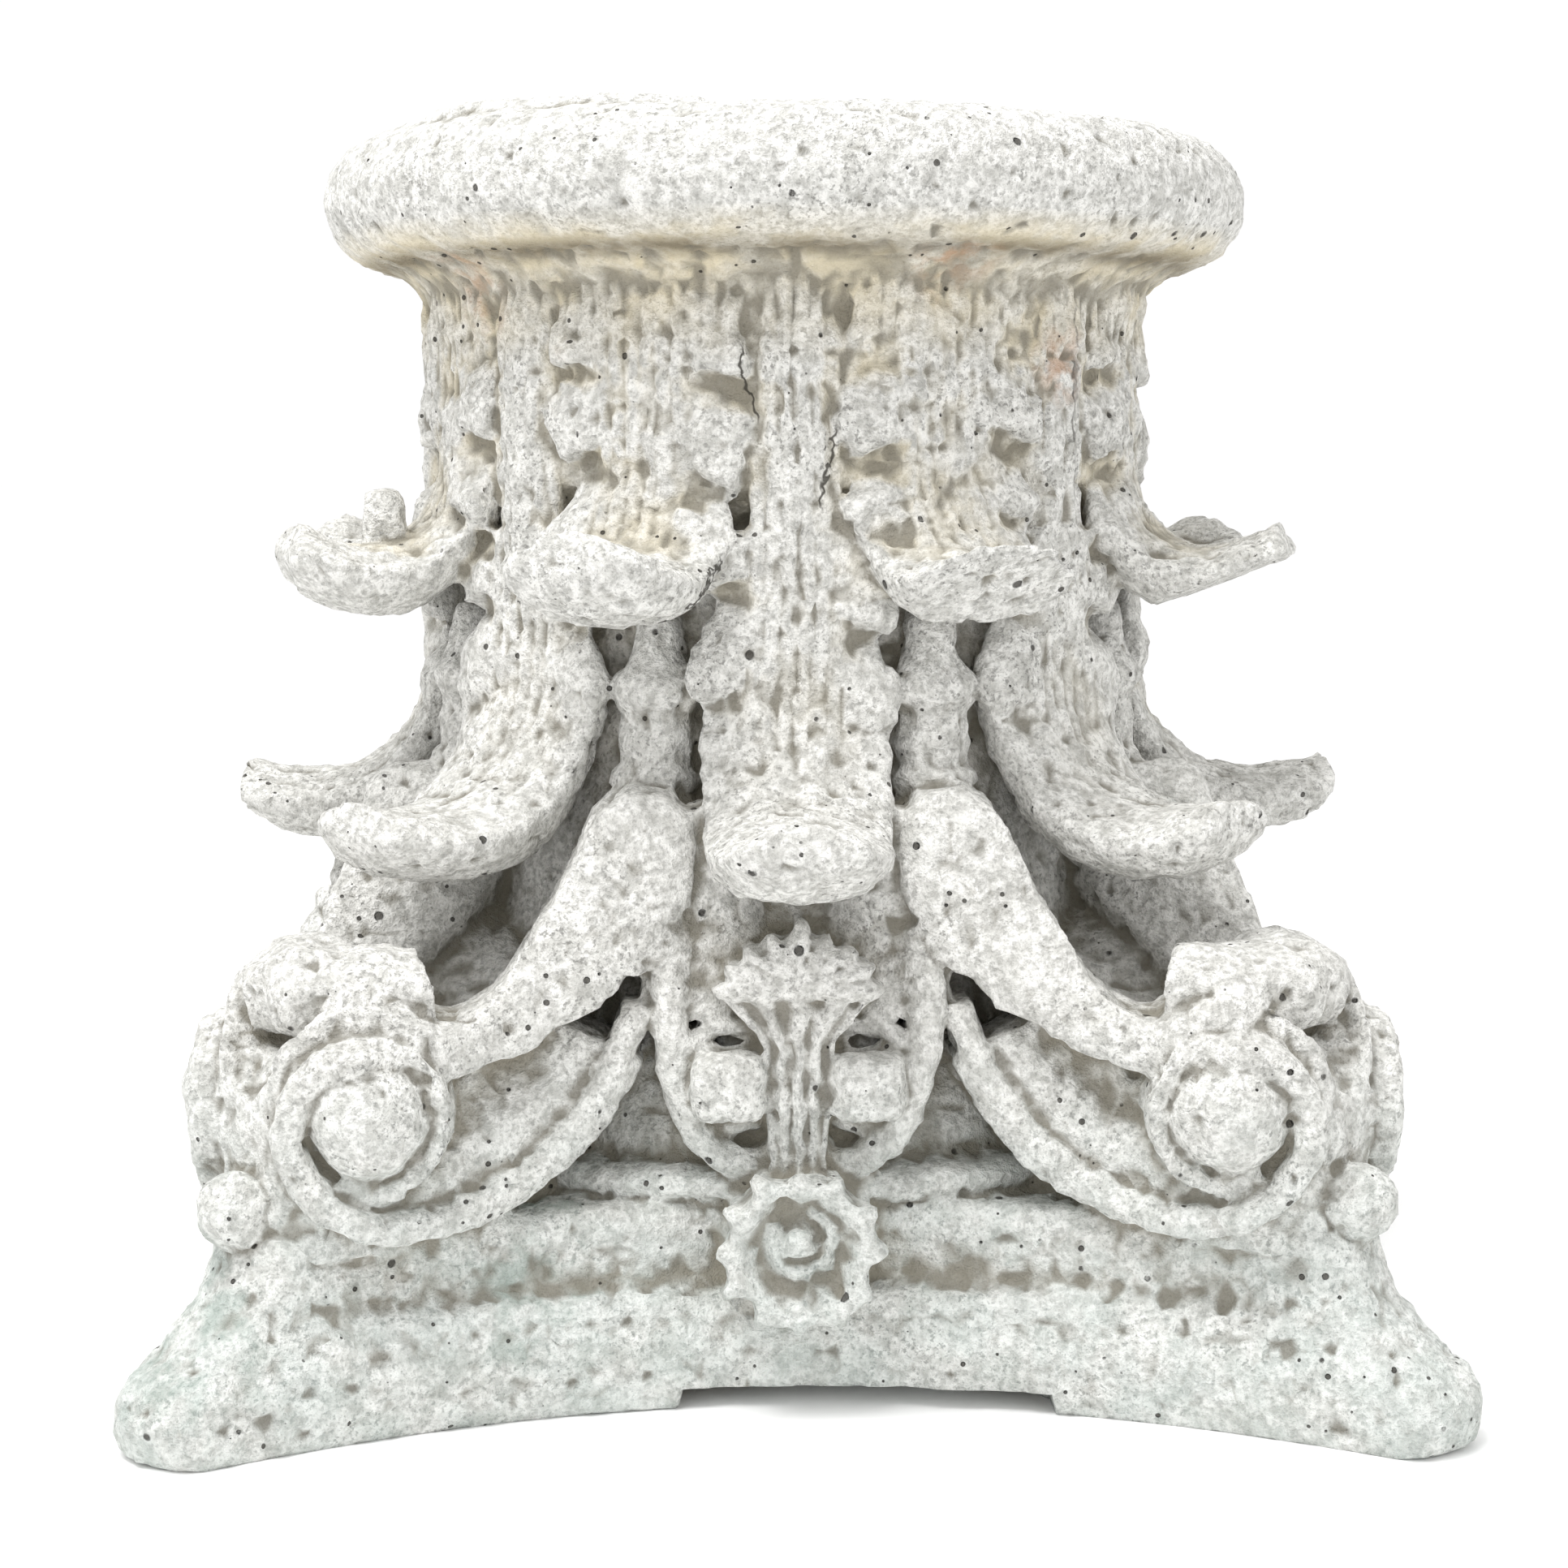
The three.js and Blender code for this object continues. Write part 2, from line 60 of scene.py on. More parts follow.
# Bell, neck and round moulding
NECK_RADIUS = 119
BELL_FLARE = 30
BELL_LIP_RADIUS = 163
BELL_LIP_THICKNESS = 11
MOULDING_RADIUS = 176
MOULDING_HEIGHT = 47
NECK_LENGTH = 303
HOLLOW_HEIGHT = 26
NECK_TOP = ABACUS_HEIGHT + NECK_LENGTH
MOULDING_FOOT = NECK_TOP + HOLLOW_HEIGHT
BED_LEVEL = MOULDING_FOOT + MOULDING_HEIGHT
LEAF_BACKING = 15

# Mortar left on the bed
LUMP_LENGTH = 116
LUMP_WIDTH = 52
LUMP_HEIGHT = 11
LUMP_ACROSS = -80
LUMP_OUT = 100
LUMP_TURN = -29

# Thin recess broken out of the foot of the front face
RECESS_MIDDLE = 20
RECESS_HALF = 67
RECESS_RAGGED = 8
RECESS_OUT = 120
RECESS_HEIGHT = 7.5

# Leaves: turn of the first one, then radii, levels and half widths along the leaf
UPPER_ROW = dict(turn=22.5, face=139, bend=322, dip=290, reach=195, tip=304, stem_half=34,
                 blade_half=37, tip_half=33, tip_depth=25, wide_from=372)
LOWER_ROW = dict(turn=0.0, face=140, bend=248, dip=201, reach=214, tip=211, stem_half=16,
                 blade_half=37, tip_half=33, tip_depth=27, wide_from=290)
LEAVES_IN_ROW = 8
FLUTE_SPACING = 5.8
FLUTE_DEPTH = 3.8
LOBE_LENGTH = 31
LOBE_RISE = 7.5
LOBE_SINK = 4.5
VEIN_SPACING = 7.5
VEIN_DEPTH = 0.6
STUB_RADIUS = 8
STUB_PLACE = (-150, -62, 306)

# Corner volutes
EYE_OUT = 144
EYE_LEVEL = 110
EYE_RADIUS = 19.5
VOLUTE_RADIUS = 31
BAND_REACH = 64
BAND_FALL = 60
SPIRAL_LOSS = 0.018
RIM_WIDTH = 10.5
RIM_HEIGHT = 6
FACE_MIDDLE = 147
FACE_CORNER = 201

# Middle of each side
INNER_EYE_OUT = 24
INNER_EYE_LEVEL = 115
INNER_EYE_RADIUS = 12.5
INNER_FACE = 166
STEM_HALF = 13
PALMETTE_HALF = 31
PALMETTE_BASE = 144
PALMETTE_HEIGHT = 26
FLOWER_RADIUS = 31
FLOWER_LEVEL = 60
FLOWER_REACH = 187
STALK_OUT = 48
STALK_RADIUS = 15
STALK_FOOT = 205
STALK_HEIGHT = 68
SIDES = 4
INNER_RING_RADIUS = 17
PALMETTE_TEETH = 9
FLOWER_LOBES = 12
BEAD_RADIUS = 13

# Camera, in metres and degrees, fitted to the photo of 1932 pixels
CAMERA_DISTANCE = 1.120
CAMERA_HEIGHT = 0.3283
CAMERA_DOWN = 6.6
CAMERA_LEFT = 1.7
FOCAL_PIXELS = 3500
PHOTO_PIXELS = 1932
SENSOR = 36

# Studio, in metres and watts
FLOOR_HALF = 30
LIGHT_PLACE = (-0.5, -0.7, 2.0)
LIGHT_TARGET = (0, 0, 0.25)
LIGHT_SIZE = 1.0
LIGHT_POWER = 30
SKY_STRENGTH = 1.02

# Stains as X, Y, Z and radius, and cracks as X, lowest and highest level, lean and size of wander
RUST = ((-97, -125, 354, 22), (-104, -120, 317, 20), (54, -135, 396, 20), (100, -105, 360, 18),
        (-118, -90, 385, 22), (20, 150, 380, 30))
ALGAE = ((-205, -205, 37, 48), (42, -190, 69, 16), (-94, -165, 39, 38), (-87, -150, 72, 20),
         (152, -100, 209, 20), (205, 190, 30, 40), (-20, 170, 45, 34))
CRACKS = ((-17, 338, 368, -0.35, 17), (12, 308, 340, 0.1, 13), (102, 306, 384, -0.05, 19),
          (-31, 272, 296, 0.5, 11))


def smoothstep(low, high, x):
    """0 below low, 1 above high, eased between; low may be the larger."""
    t = np.clip((np.asarray(x, float) - low) / (high - low), 0, 1)
    return t * t * (3 - 2 * t)


def blend(a, b, t):
    return a + (b - a) * t


def unit(v):
    return v / np.maximum(np.linalg.norm(v, axis=-1, keepdims=True), 1e-9)


def curve_through(points, count):
    """Catmull-Rom curve through rows of numbers, sampled evenly in its parameter."""
    p = np.asarray(points, float)
    p = np.vstack([2 * p[0] - p[1], p, 2 * p[-1] - p[-2]])
    t = np.linspace(0, len(p) - 3 - 1e-9, count)
    i = t.astype(int)
    f = (t - i)[:, None]
    a, b, c, d = p[i], p[i + 1], p[i + 2], p[i + 3]
    return 0.5 * (2 * b + (c - a) * f + (2 * a - 5 * b + 4 * c - d) * f**2 + (3 * b - a - 3 * c + d) * f**3)


def lattice_noise(points, cell, seed):
    """Smooth noise between -1 and 1 at each point, with features about as large as cell."""
    rng = np.random.default_rng(seed)
    size = 64
    values = rng.uniform(-1, 1, (size, size, size))
    p = np.asarray(points) / cell + 1000
    i = np.floor(p).astype(int)
    f = p - i
    f = f * f * (3 - 2 * f)
    total = np.zeros(p.shape[:-1])
    for corner in range(8):
        step = np.array([corner & 1, corner >> 1 & 1, corner >> 2 & 1])
        weight = np.prod(np.where(step, f, 1 - f), axis=-1)
        j = (i + step) % size
        total += weight * values[j[..., 0], j[..., 1], j[..., 2]]
    return total


def sphere_grid(gap, rows, columns):
    """Unit directions in rows from pole to pole, short of the poles by gap."""
    polar = np.linspace(gap, np.pi - gap, rows)[:, None]
    angle = np.linspace(0, 2 * np.pi, columns, endpoint=False)[None]
    return np.stack([np.sin(polar) * np.cos(angle), np.sin(polar) * np.sin(angle),
                     np.cos(polar) * np.ones_like(angle)], -1)


def scene_object(name, data):
    """A new object, linked into the scene."""
    made = bpy.data.objects.new(name, data)
    bpy.context.scene.collection.objects.link(made)
    return made


def applied(made):
    """The mesh of an object with its modifiers applied; the object and its own mesh go."""
    result = bpy.data.meshes.new_from_object(made.evaluated_get(bpy.context.evaluated_depsgraph_get()))
    old = made.data
    bpy.data.objects.remove(made)
    bpy.data.meshes.remove(old)
    return result


def add_node(tree, kind, inputs=(), output=0, **settings):
    """Adds a node with its settings. Sockets among its inputs are linked, other values are set."""
    made = tree.nodes.new(kind)
    for key, value in settings.items():
        setattr(made, key, value)
    for key, value in dict(inputs).items():
        if isinstance(value, bpy.types.NodeSocket):
            tree.links.new(value, made.inputs[key])
        else:
            made.inputs[key].default_value = value
    return made.outputs[output] if len(made.outputs) else None


class Shells:
    """Closed shells gathered as one list of vertices and faces."""

    def __init__(self):
        self.vertices = []
        self.faces = []
        self.count = 0

    def add(self, points, faces):
        points = np.asarray(points, float).reshape(-1, 3)
        a, b, c = (points[faces[:, k]] for k in range(3))
        if np.einsum("ij,ij->i", a, np.cross(b, c)).sum() < 0:
            faces = faces[:, ::-1]
        self.vertices.append(points)
        self.faces.append(faces + self.count)
        self.count += len(points)

    def loft(self, rings):
        """A shell over an array of closed rings, with both ends closed."""
        rings = np.asarray(rings, float)
        rows, count = rings.shape[:2]
        grid = np.arange(rows * count).reshape(rows, count)
        a, b = grid[:-1], np.roll(grid, -1, axis=1)[:-1]
        c, d = np.roll(grid, -1, axis=1)[1:], grid[1:]
        faces = [np.stack([a, b, c], -1).reshape(-1, 3), np.stack([a, c, d], -1).reshape(-1, 3)]
        hubs = [rings[0].mean(0), rings[-1].mean(0)]
        for hub, ring, flip in ((0, grid[0], True), (1, grid[-1], False)):
            centre = np.full(count, rows * count + hub)
            following = np.roll(ring, -1)
            order = [centre, following, ring] if flip else [centre, ring, following]
            faces.append(np.stack(order, -1))
        self.add(np.vstack([rings.reshape(-1, 3), hubs]), np.vstack(faces))

    def turned(self, profile, segments, middle=(0, 0, 0), scale=(1, 1, 1), about_y=False):
        """A solid turned from pairs of radius and height, about Z or about Y."""
        r, z = np.asarray(profile, float).T
        angle = np.linspace(0, 2 * np.pi, segments, endpoint=False)
        rings = np.stack([r[:, None] * np.cos(angle), r[:, None] * np.sin(angle),
                          np.broadcast_to(z[:, None], (len(r), segments))], -1)
        if about_y:
            rings = rings[..., [0, 2, 1]] * (1, -1, 1)
        self.loft(rings * scale + middle)

    def ball(self, radius, middle, scale=(1, 1, 1), boxy=1.0):
        """A ball, or with boxy below 1 a rounded cube."""
        way = sphere_grid(0.02, 30, 44)
        way = np.sign(way) * np.abs(way) ** boxy
        self.loft(way * radius * np.asarray(scale) + middle)

    def mirrored(self):
        """The same shells on the other side of the plane X = 0."""
        other = Shells()
        for points, faces in zip(self.vertices, self.faces):
            other.add(points * (-1, 1, 1), faces - faces.min())
        return other

    def merge(self, other):
        for points, faces in zip(other.vertices, other.faces):
            self.add(points, faces - faces.min())

    def to_object(self, name):
        mesh = bpy.data.meshes.new(name)
        mesh.from_pydata((np.vstack(self.vertices) * MM).tolist(), [], np.vstack(self.faces).tolist())
        return scene_object(name, mesh)


def moulding_section():
    """Bell, neck and round moulding as pairs of radius and level, from inside the abacus up."""
    half = MOULDING_HEIGHT / 2
    lip_half = BELL_LIP_THICKNESS / 2
    profile = [(0.5, ABACUS_HEIGHT / 2), (BELL_LIP_RADIUS - UPPER_STEP - 6, ABACUS_HEIGHT / 2)]
    for angle in np.radians(np.linspace(-90, 90, 13)):
        out = BELL_LIP_RADIUS - 9 + 9 * math.cos(angle)
        profile.append((out, ABACUS_HEIGHT + lip_half + lip_half * math.sin(angle)))
    for level in np.linspace(ABACUS_HEIGHT + BELL_LIP_THICKNESS + 1, NECK_TOP, 60):
        drop = (NECK_TOP - level) / NECK_LENGTH
        behind_leaves = LEAF_BACKING * smoothstep(UPPER_ROW["bend"] - 20, UPPER_ROW["bend"], level)
        profile.append((NECK_RADIUS + BELL_FLARE * drop**3 + behind_leaves, level))
    start = MOULDING_RADIUS - half
    for t in np.linspace(0.1, 0.95, 9):
        profile.append((blend(NECK_RADIUS + LEAF_BACKING, start, t**2.5), NECK_TOP + HOLLOW_HEIGHT * t))
    for angle in np.radians(np.linspace(-80, 90, 30)):
        out = MOULDING_RADIUS - half + half * math.cos(angle)
        profile.append((out, MOULDING_FOOT + half + half * math.sin(angle)))
    profile.append((0.5, BED_LEVEL))
    return profile


def build_lump(shells):
    """Mortar left on the bed, near its front left edge."""
    heap = sphere_grid(0.03, 40, 90)
    heap = np.sign(heap) * np.abs(heap) ** (0.9, 0.9, 0.6)
    heap = heap * (LUMP_LENGTH / 2, LUMP_WIDTH / 2, LUMP_HEIGHT + 6)
    rough = 0.16 * lattice_noise(heap, 14, 11) + 0.08 * lattice_noise(heap, 5, 12)
    heap = heap * (1 + rough[..., None])
    c, s = math.cos(math.radians(LUMP_TURN)), math.sin(math.radians(LUMP_TURN))
    x = heap[..., 0] * c - heap[..., 1] * s + LUMP_ACROSS
    y = heap[..., 0] * s + heap[..., 1] * c - LUMP_OUT
    shells.loft(np.stack([x, y, np.minimum(heap[..., 2], LUMP_HEIGHT) + BED_LEVEL - 6], -1))


def build_abacus(shells):
    """Two members with hollow sides, spreading to blunt horns."""
    upper_horn = HORN_REACH - HORN_FLARE
    upper_side = SIDE_REACH - UPPER_STEP
    levels = curve_through([
        (0, HORN_REACH - 4, SIDE_REACH - 3),
        (5, HORN_REACH - 1, SIDE_REACH - 1),
        (16, HORN_REACH, SIDE_REACH),
        (25, HORN_REACH - 5, SIDE_REACH),
        (32, blend(HORN_REACH, upper_horn, 0.42), SIDE_REACH - 2),
        (LIP_LEVEL, blend(HORN_REACH, upper_horn, 0.6), SIDE_REACH - 3),
        (LIP_LEVEL + 3, blend(HORN_REACH, upper_horn, 0.7), upper_side + 2),
        (LIP_LEVEL + 8, blend(HORN_REACH, upper_horn, 0.8), upper_side - 1),
        (ABACUS_HEIGHT - 8, upper_horn + 1, upper_side),
        (ABACUS_HEIGHT - 2, upper_horn - 1, upper_side - 1),
        (ABACUS_HEIGHT, upper_horn - 5, upper_side - 5),
    ], 60)
    rings = []
    for level, horn, side in levels:
        end = horn - HORN_CUT
        along = np.linspace(-end, end, 80)
        out = side + (horn - side) * (along / end) ** 2
        # The blunt end of the horn is a round arc from this side to the next
        middle = np.array([end, -end])
        angle = np.radians(np.linspace(-80, -10, 12))
        arc = middle + np.stack([np.cos(angle), np.sin(angle)], -1) * HORN_CUT
        ring = np.vstack([np.stack([along, -out], -1), arc])
        quarter = []
        for turn in range(SIDES):
            c, s = round(math.cos(turn * math.pi / 2)), round(math.sin(turn * math.pi / 2))
            quarter.append(np.stack([ring[:, 0] * c - ring[:, 1] * s, ring[:, 0] * s + ring[:, 1] * c], -1))
        flat = np.vstack(quarter)
        rings.append(np.column_stack([flat, np.full(len(flat), level)]))
    shells.loft(rings)


def leaf_spine(row, count):
    """Radius and level of the ribbed face from the round moulding to the tip, evenly spaced."""
    top = MOULDING_FOOT + 3
    points = [(row["face"], top), (row["face"], blend(top, row["bend"], 0.5)), (row["face"], row["bend"])]
    start, end = np.array(points[-1]), np.array([row["reach"], row["tip"]])
    one = np.array([row["face"] + 6, blend(row["bend"], row["dip"], 0.8)])
    two = np.array([blend(row["face"], row["reach"], 0.45), row["dip"] - 4])
    t = np.linspace(0, 1, 60)[1:, None]
    curl = (1 - t) ** 3 * start + 3 * (1 - t) ** 2 * t * one + 3 * (1 - t) * t**2 * two + t**3 * end
    line = np.vstack([points, curl])
    length = np.append(0, np.cumsum(np.linalg.norm(np.diff(line, axis=0), axis=1)))
    at = np.linspace(0, length[-1], count)
    return np.column_stack([np.interp(at, length, line[:, k]) for k in range(2)]), at


def build_leaf(row, seed):
    """One leaf on the front face: a ribbed blade with ragged lobes and a heavy curled tip."""
    shells = Shells()
    spine, at = leaf_spine(row, 190)
    way = unit(np.gradient(spine, axis=0))
    face = np.column_stack([-way[:, 1], way[:, 0]])
    bend_at = np.interp(-row["bend"], -spine[:, 1][:76], at[:76])
    curl = np.clip((at - bend_at) / (at[-1] - bend_at), 0, 1)
    rng = np.random.default_rng(seed)
    wide = smoothstep(row["wide_from"] + 12, row["wide_from"] - 26, spine[:, 1]) * (at > 0)
    wide = np.maximum(wide, curl > 0)
    closing = np.sqrt(np.clip(1 - (np.clip(curl - 0.6, 0, 1) / 0.4) ** 2.6, 0, 1))
    half = blend(row["stem_half"], row["blade_half"], wide)
    half = half * (1 - 0.1 * np.exp(-((curl - 0.2) / 0.12) ** 2))
    half = blend(half, row["tip_half"], smoothstep(0.25, 0.6, curl))
    half = half * blend(0.5, 1, closing)
    depth = blend(19, row["tip_depth"], smoothstep(0.1, 0.65, curl)) * blend(0.35, 1, closing)
    droop = blend(6, 9, curl)
    ragged = wide * (1 - smoothstep(0.3, 0.5, curl))
    rings = []
    share = np.linspace(-1, 1, 111)
    edge = np.abs(share)
    back = np.linspace(1, -1, 33)[1:-1]
    phase = rng.uniform(0, 1, 2)
    drift = at / LOBE_LENGTH + 0.16 * np.sin(at / 17 + 6 * phase[0])
    nicks = lattice_noise(np.column_stack([at, at * 0, at * 0]), 3.1, seed)
    for i in range(len(at)):
        # Each side lobe widens and rises downward, ends in a ledge and hangs over the next one
        reach = []
        for which in (0, 1):
            lobe = (drift[i] + phase[which] - 0.3) % 1
            swell = smoothstep(0, 0.6, lobe) * (1 - 0.35 * smoothstep(0.82, 1, lobe))
            nick = 0.035 * nicks[(i + 40 * which) % len(at)]
            reach.append(1 + ragged[i] * (0.24 * swell - 0.15 + nick))
        reach_here = np.where(share < 0, reach[0], reach[1])
        across = half[i] * share * reach_here
        lobe = (drift[i] + np.where(share < 0, phase[0], phase[1]) - 0.3 * edge) % 1
        swell = smoothstep(0, 0.75, lobe)
        overlap = ragged[i] * smoothstep(0.36, 0.66, edge) * (LOBE_RISE * swell - LOBE_SINK)
        veins = VEIN_DEPTH * ragged[i] * smoothstep(0.5, 0.7, edge)
        veins = veins * np.sin(2 * np.pi * (at[i] / VEIN_SPACING + 1.6 * edge))
        # Parallel flutes run down the middle and end before the swollen tip
        fade = 1 - smoothstep(0.4, 0.62, curl[i])
        middle = 1 - smoothstep(0.4, 0.56, edge) * wide[i]
        flute = np.abs(np.sin(np.pi * (across / FLUTE_SPACING + 0.25 * math.sin(at[i] / 23)))) ** 0.6
        lift = FLUTE_DEPTH * (flute - 0.85) * fade * middle + overlap + veins - droop[i] * edge**2.2
        out = spine[i, 0] + face[i, 0] * lift
        up = spine[i, 1] + face[i, 1] * lift
        front = np.stack([across, -out, up], -1)
        sink = -droop[i] - (depth[i] - droop[i]) * np.sqrt(1 - np.abs(back) ** 2.3)
        wall = half[i] * back * np.where(back < 0, reach[0], reach[1])
        rear = np.stack([wall, -(spine[i, 0] + face[i, 0] * sink), spine[i, 1] + face[i, 1] * sink], -1)
        rings.append(np.vstack([front, rear]))
    shells.loft(rings)
    return shells


def face_reach(along):
    """Distance from the axis to the face of the bands at a place along a side."""
    share = np.minimum(np.abs(along) / EYE_OUT, 1)
    return FACE_MIDDLE + (FACE_CORNER - FACE_MIDDLE) * share**2


def strip(shells, stations, crown, across=17, edge=None):
    """A band laid on a face. Stations are rows of along, level, half width, rise and depth."""
    stations = np.asarray(stations, float)
    path = stations[:, :2]
    way = unit(np.gradient(path, axis=0))
    side = np.column_stack([-way[:, 1], way[:, 0]])
    share = np.linspace(-1, 1, across)
    rings = []
    for i, (along, level, half, rise, depth) in enumerate(stations):
        t = i / (len(stations) - 1)
        reach = np.ones(across) if edge is None else edge(share, t)
        x = along + side[i, 0] * share * half * reach
        z = level + side[i, 1] * share * half * reach
        front = face_reach(along) + rise
        y = -(front + crown(share, t))
        top = np.stack([x, y, z], -1)
        end = np.full(2, -(front - depth))
        bottom = np.stack([x[[-1, 0]], end, z[[-1, 0]]], -1)
        rings.append(np.vstack([top, bottom]))
    shells.loft(rings)


def rim_point(turn, inset):
    """Along and level of the volute's rim after a turn in degrees, drawn in by inset."""
    distance = VOLUTE_RADIUS - SPIRAL_LOSS * turn + BAND_REACH * np.exp(-turn / BAND_FALL) - inset
    angle = np.radians(15 - turn)
    return np.stack([-EYE_OUT + np.cos(angle) * distance, EYE_LEVEL + np.sin(angle) * distance], -1)


def build_volute(shells):
    """Left corner volute of the front: raised rim, hollow channel, bowl and ball."""
    turn = np.linspace(-4, 415, 240)
    rim = rim_point(turn, RIM_WIDTH / 2)
    thin = blend(1, 0.85, smoothstep(250, 415, turn))
    stations = np.column_stack([rim, RIM_WIDTH / 2 * thin, np.full(len(turn), 1.5), np.full(len(turn), 18)])
    strip(shells, stations, lambda s, t: RIM_HEIGHT * (1 - 0.5 * np.abs(s) ** 3.5) - RIM_HEIGHT * 0.2)
    turn = np.linspace(-2, 130, 60)
    outer = rim_point(turn, 1)
    room = VOLUTE_RADIUS + BAND_REACH * np.exp(-turn / BAND_FALL) - EYE_RADIUS * 0.5
    inner = rim_point(turn, np.minimum(room, 48))
    middle = (outer + inner) / 2
    half = np.linalg.norm(outer - inner, axis=1) / 2
    stations = np.column_stack([middle, half, np.zeros(len(turn)), np.full(len(turn), 40)])
    strip(shells, stations, lambda s, t: -2.5 + 2.2 * np.cos(s * 5.2), across=25)
    reach = float(face_reach(EYE_OUT))
    radius = VOLUTE_RADIUS - 3
    bowl = [(0.5, reach - 52), (radius, reach - 52), (radius, reach - 1), (radius - 5, reach - 3),
            (EYE_RADIUS + 1, reach - 7), (EYE_RADIUS - 3, reach - 9), (0.5, reach - 9)]
    shells.turned(bowl, 60, (-EYE_OUT, 0, EYE_LEVEL), about_y=True)
    shells.ball(EYE_RADIUS, (-EYE_OUT + 1, -(reach - 4), EYE_LEVEL), (1, 0.85, 0.98))


def build_sheath(shells):
    """Leafy sheath from the stalk to the ribbed knob that curls over the volute."""
    top = EYE_LEVEL + VOLUTE_RADIUS
    stations = curve_through([
        (-STALK_OUT - 2, STALK_FOOT + 8, 8, -5, 60),
        (-STALK_OUT - 4, STALK_FOOT - 2, 17, 2, 60),
        (-STALK_OUT - 8, STALK_FOOT - 19, 21, 5, 60),
        (-STALK_OUT - 16, STALK_FOOT - 33, 20, 5, 60),
        (-77, top + 17, 16, 6, 55),
        (-91, top + 3, 12, 6, 45),
        (-106, top - 7, 9.5, 6, 40),
        (-122, top - 9, 8.5, 6, 40),
        (-136, top - 3, 9.5, -1, 42),
        (-150, top + 3, 12, -14, 44),
        (-163, top + 7, 14.5, -24, 46),
        (-176, top + 6, 14, -30, 46),
        (-187, top + 3, 10, -38, 42),
    ], 190)

    def crown(share, t):
        knob = smoothstep(0.68, 0.78, t)
        grooves = 1.7 * np.cos(t * 170) * smoothstep(0.82, 0.88, t)
        body = 3.5 * (1 - np.abs(share) ** 5) - 1.5
        return body + knob * 7 * np.sqrt(np.clip(1 - share**2, 0, 1)) + grooves * (1 - share**2)

    def edge(share, t):
        inner_edge = float(smoothstep(0.2, 0.3, t) * (1 - smoothstep(0.62, 0.68, t)))
        teeth = 0.22 * abs(math.sin(t * 31)) ** 0.7 + 0.08 * abs(math.sin(t * 83))
        return np.where(share > 0.5, 1 + inner_edge * (teeth - 0.1), 1.0)

    strip(shells, stations, crown, across=31, edge=edge)


def build_inner_spiral(shells):
    """Spiral beside the stem: a leaf from the stalk, a plain strap and a rounded square knob."""
    outer = INNER_EYE_OUT + 19
    level = INNER_EYE_LEVEL
    leaf = curve_through([
        (-STALK_OUT + 12, STALK_FOOT + 2, 9, -3, 40),
        (-STALK_OUT + 16, STALK_FOOT - 14, 17, 0, 40),
        (-STALK_OUT + 16, STALK_FOOT - 34, 20, 2, 40),
        (-STALK_OUT + 13, STALK_FOOT - 54, 20, 5, 40),
        (-STALK_OUT + 9, STALK_FOOT - 68, 15, 7, 40),
    ], 50)
    strip(shells, leaf, lambda s, t: 5 * (1 - np.abs(s) ** 2.2) - 3)
    stations = curve_through([
        (-outer + 1, level + 60, 6.5, 2, 40),
        (-outer - 1, level + 34, 6, 9, 40),
        (-outer, level + 8, 5.5, 12, 40),
        (-outer + 4, level - 10, 5.5, 13, 40),
        (-outer + 13, level - 24, 5.5, 14, 40),
        (-outer + 26, level - 30, 5.5, 14, 40),
        (-outer + 37, level - 25, 5, 14, 40),
    ], 70)
    strip(shells, stations, lambda s, t: 2.2 - 3.6 * s * s)
    turn = np.radians(np.linspace(200, -150, 70))
    ring = np.column_stack([-INNER_EYE_OUT + np.cos(turn) * INNER_RING_RADIUS,
                            level + np.sin(turn) * (INNER_RING_RADIUS + 0.5),
                            np.full(70, 3.0), np.full(70, 10), np.full(70, 30)])
    strip(shells, ring, lambda s, t: 1.6 - 2.6 * s * s, across=11)
    shells.ball(INNER_EYE_RADIUS, (-INNER_EYE_OUT, -(INNER_FACE - 1), level - 1), (0.98, 1.05, 0.98), 0.42)


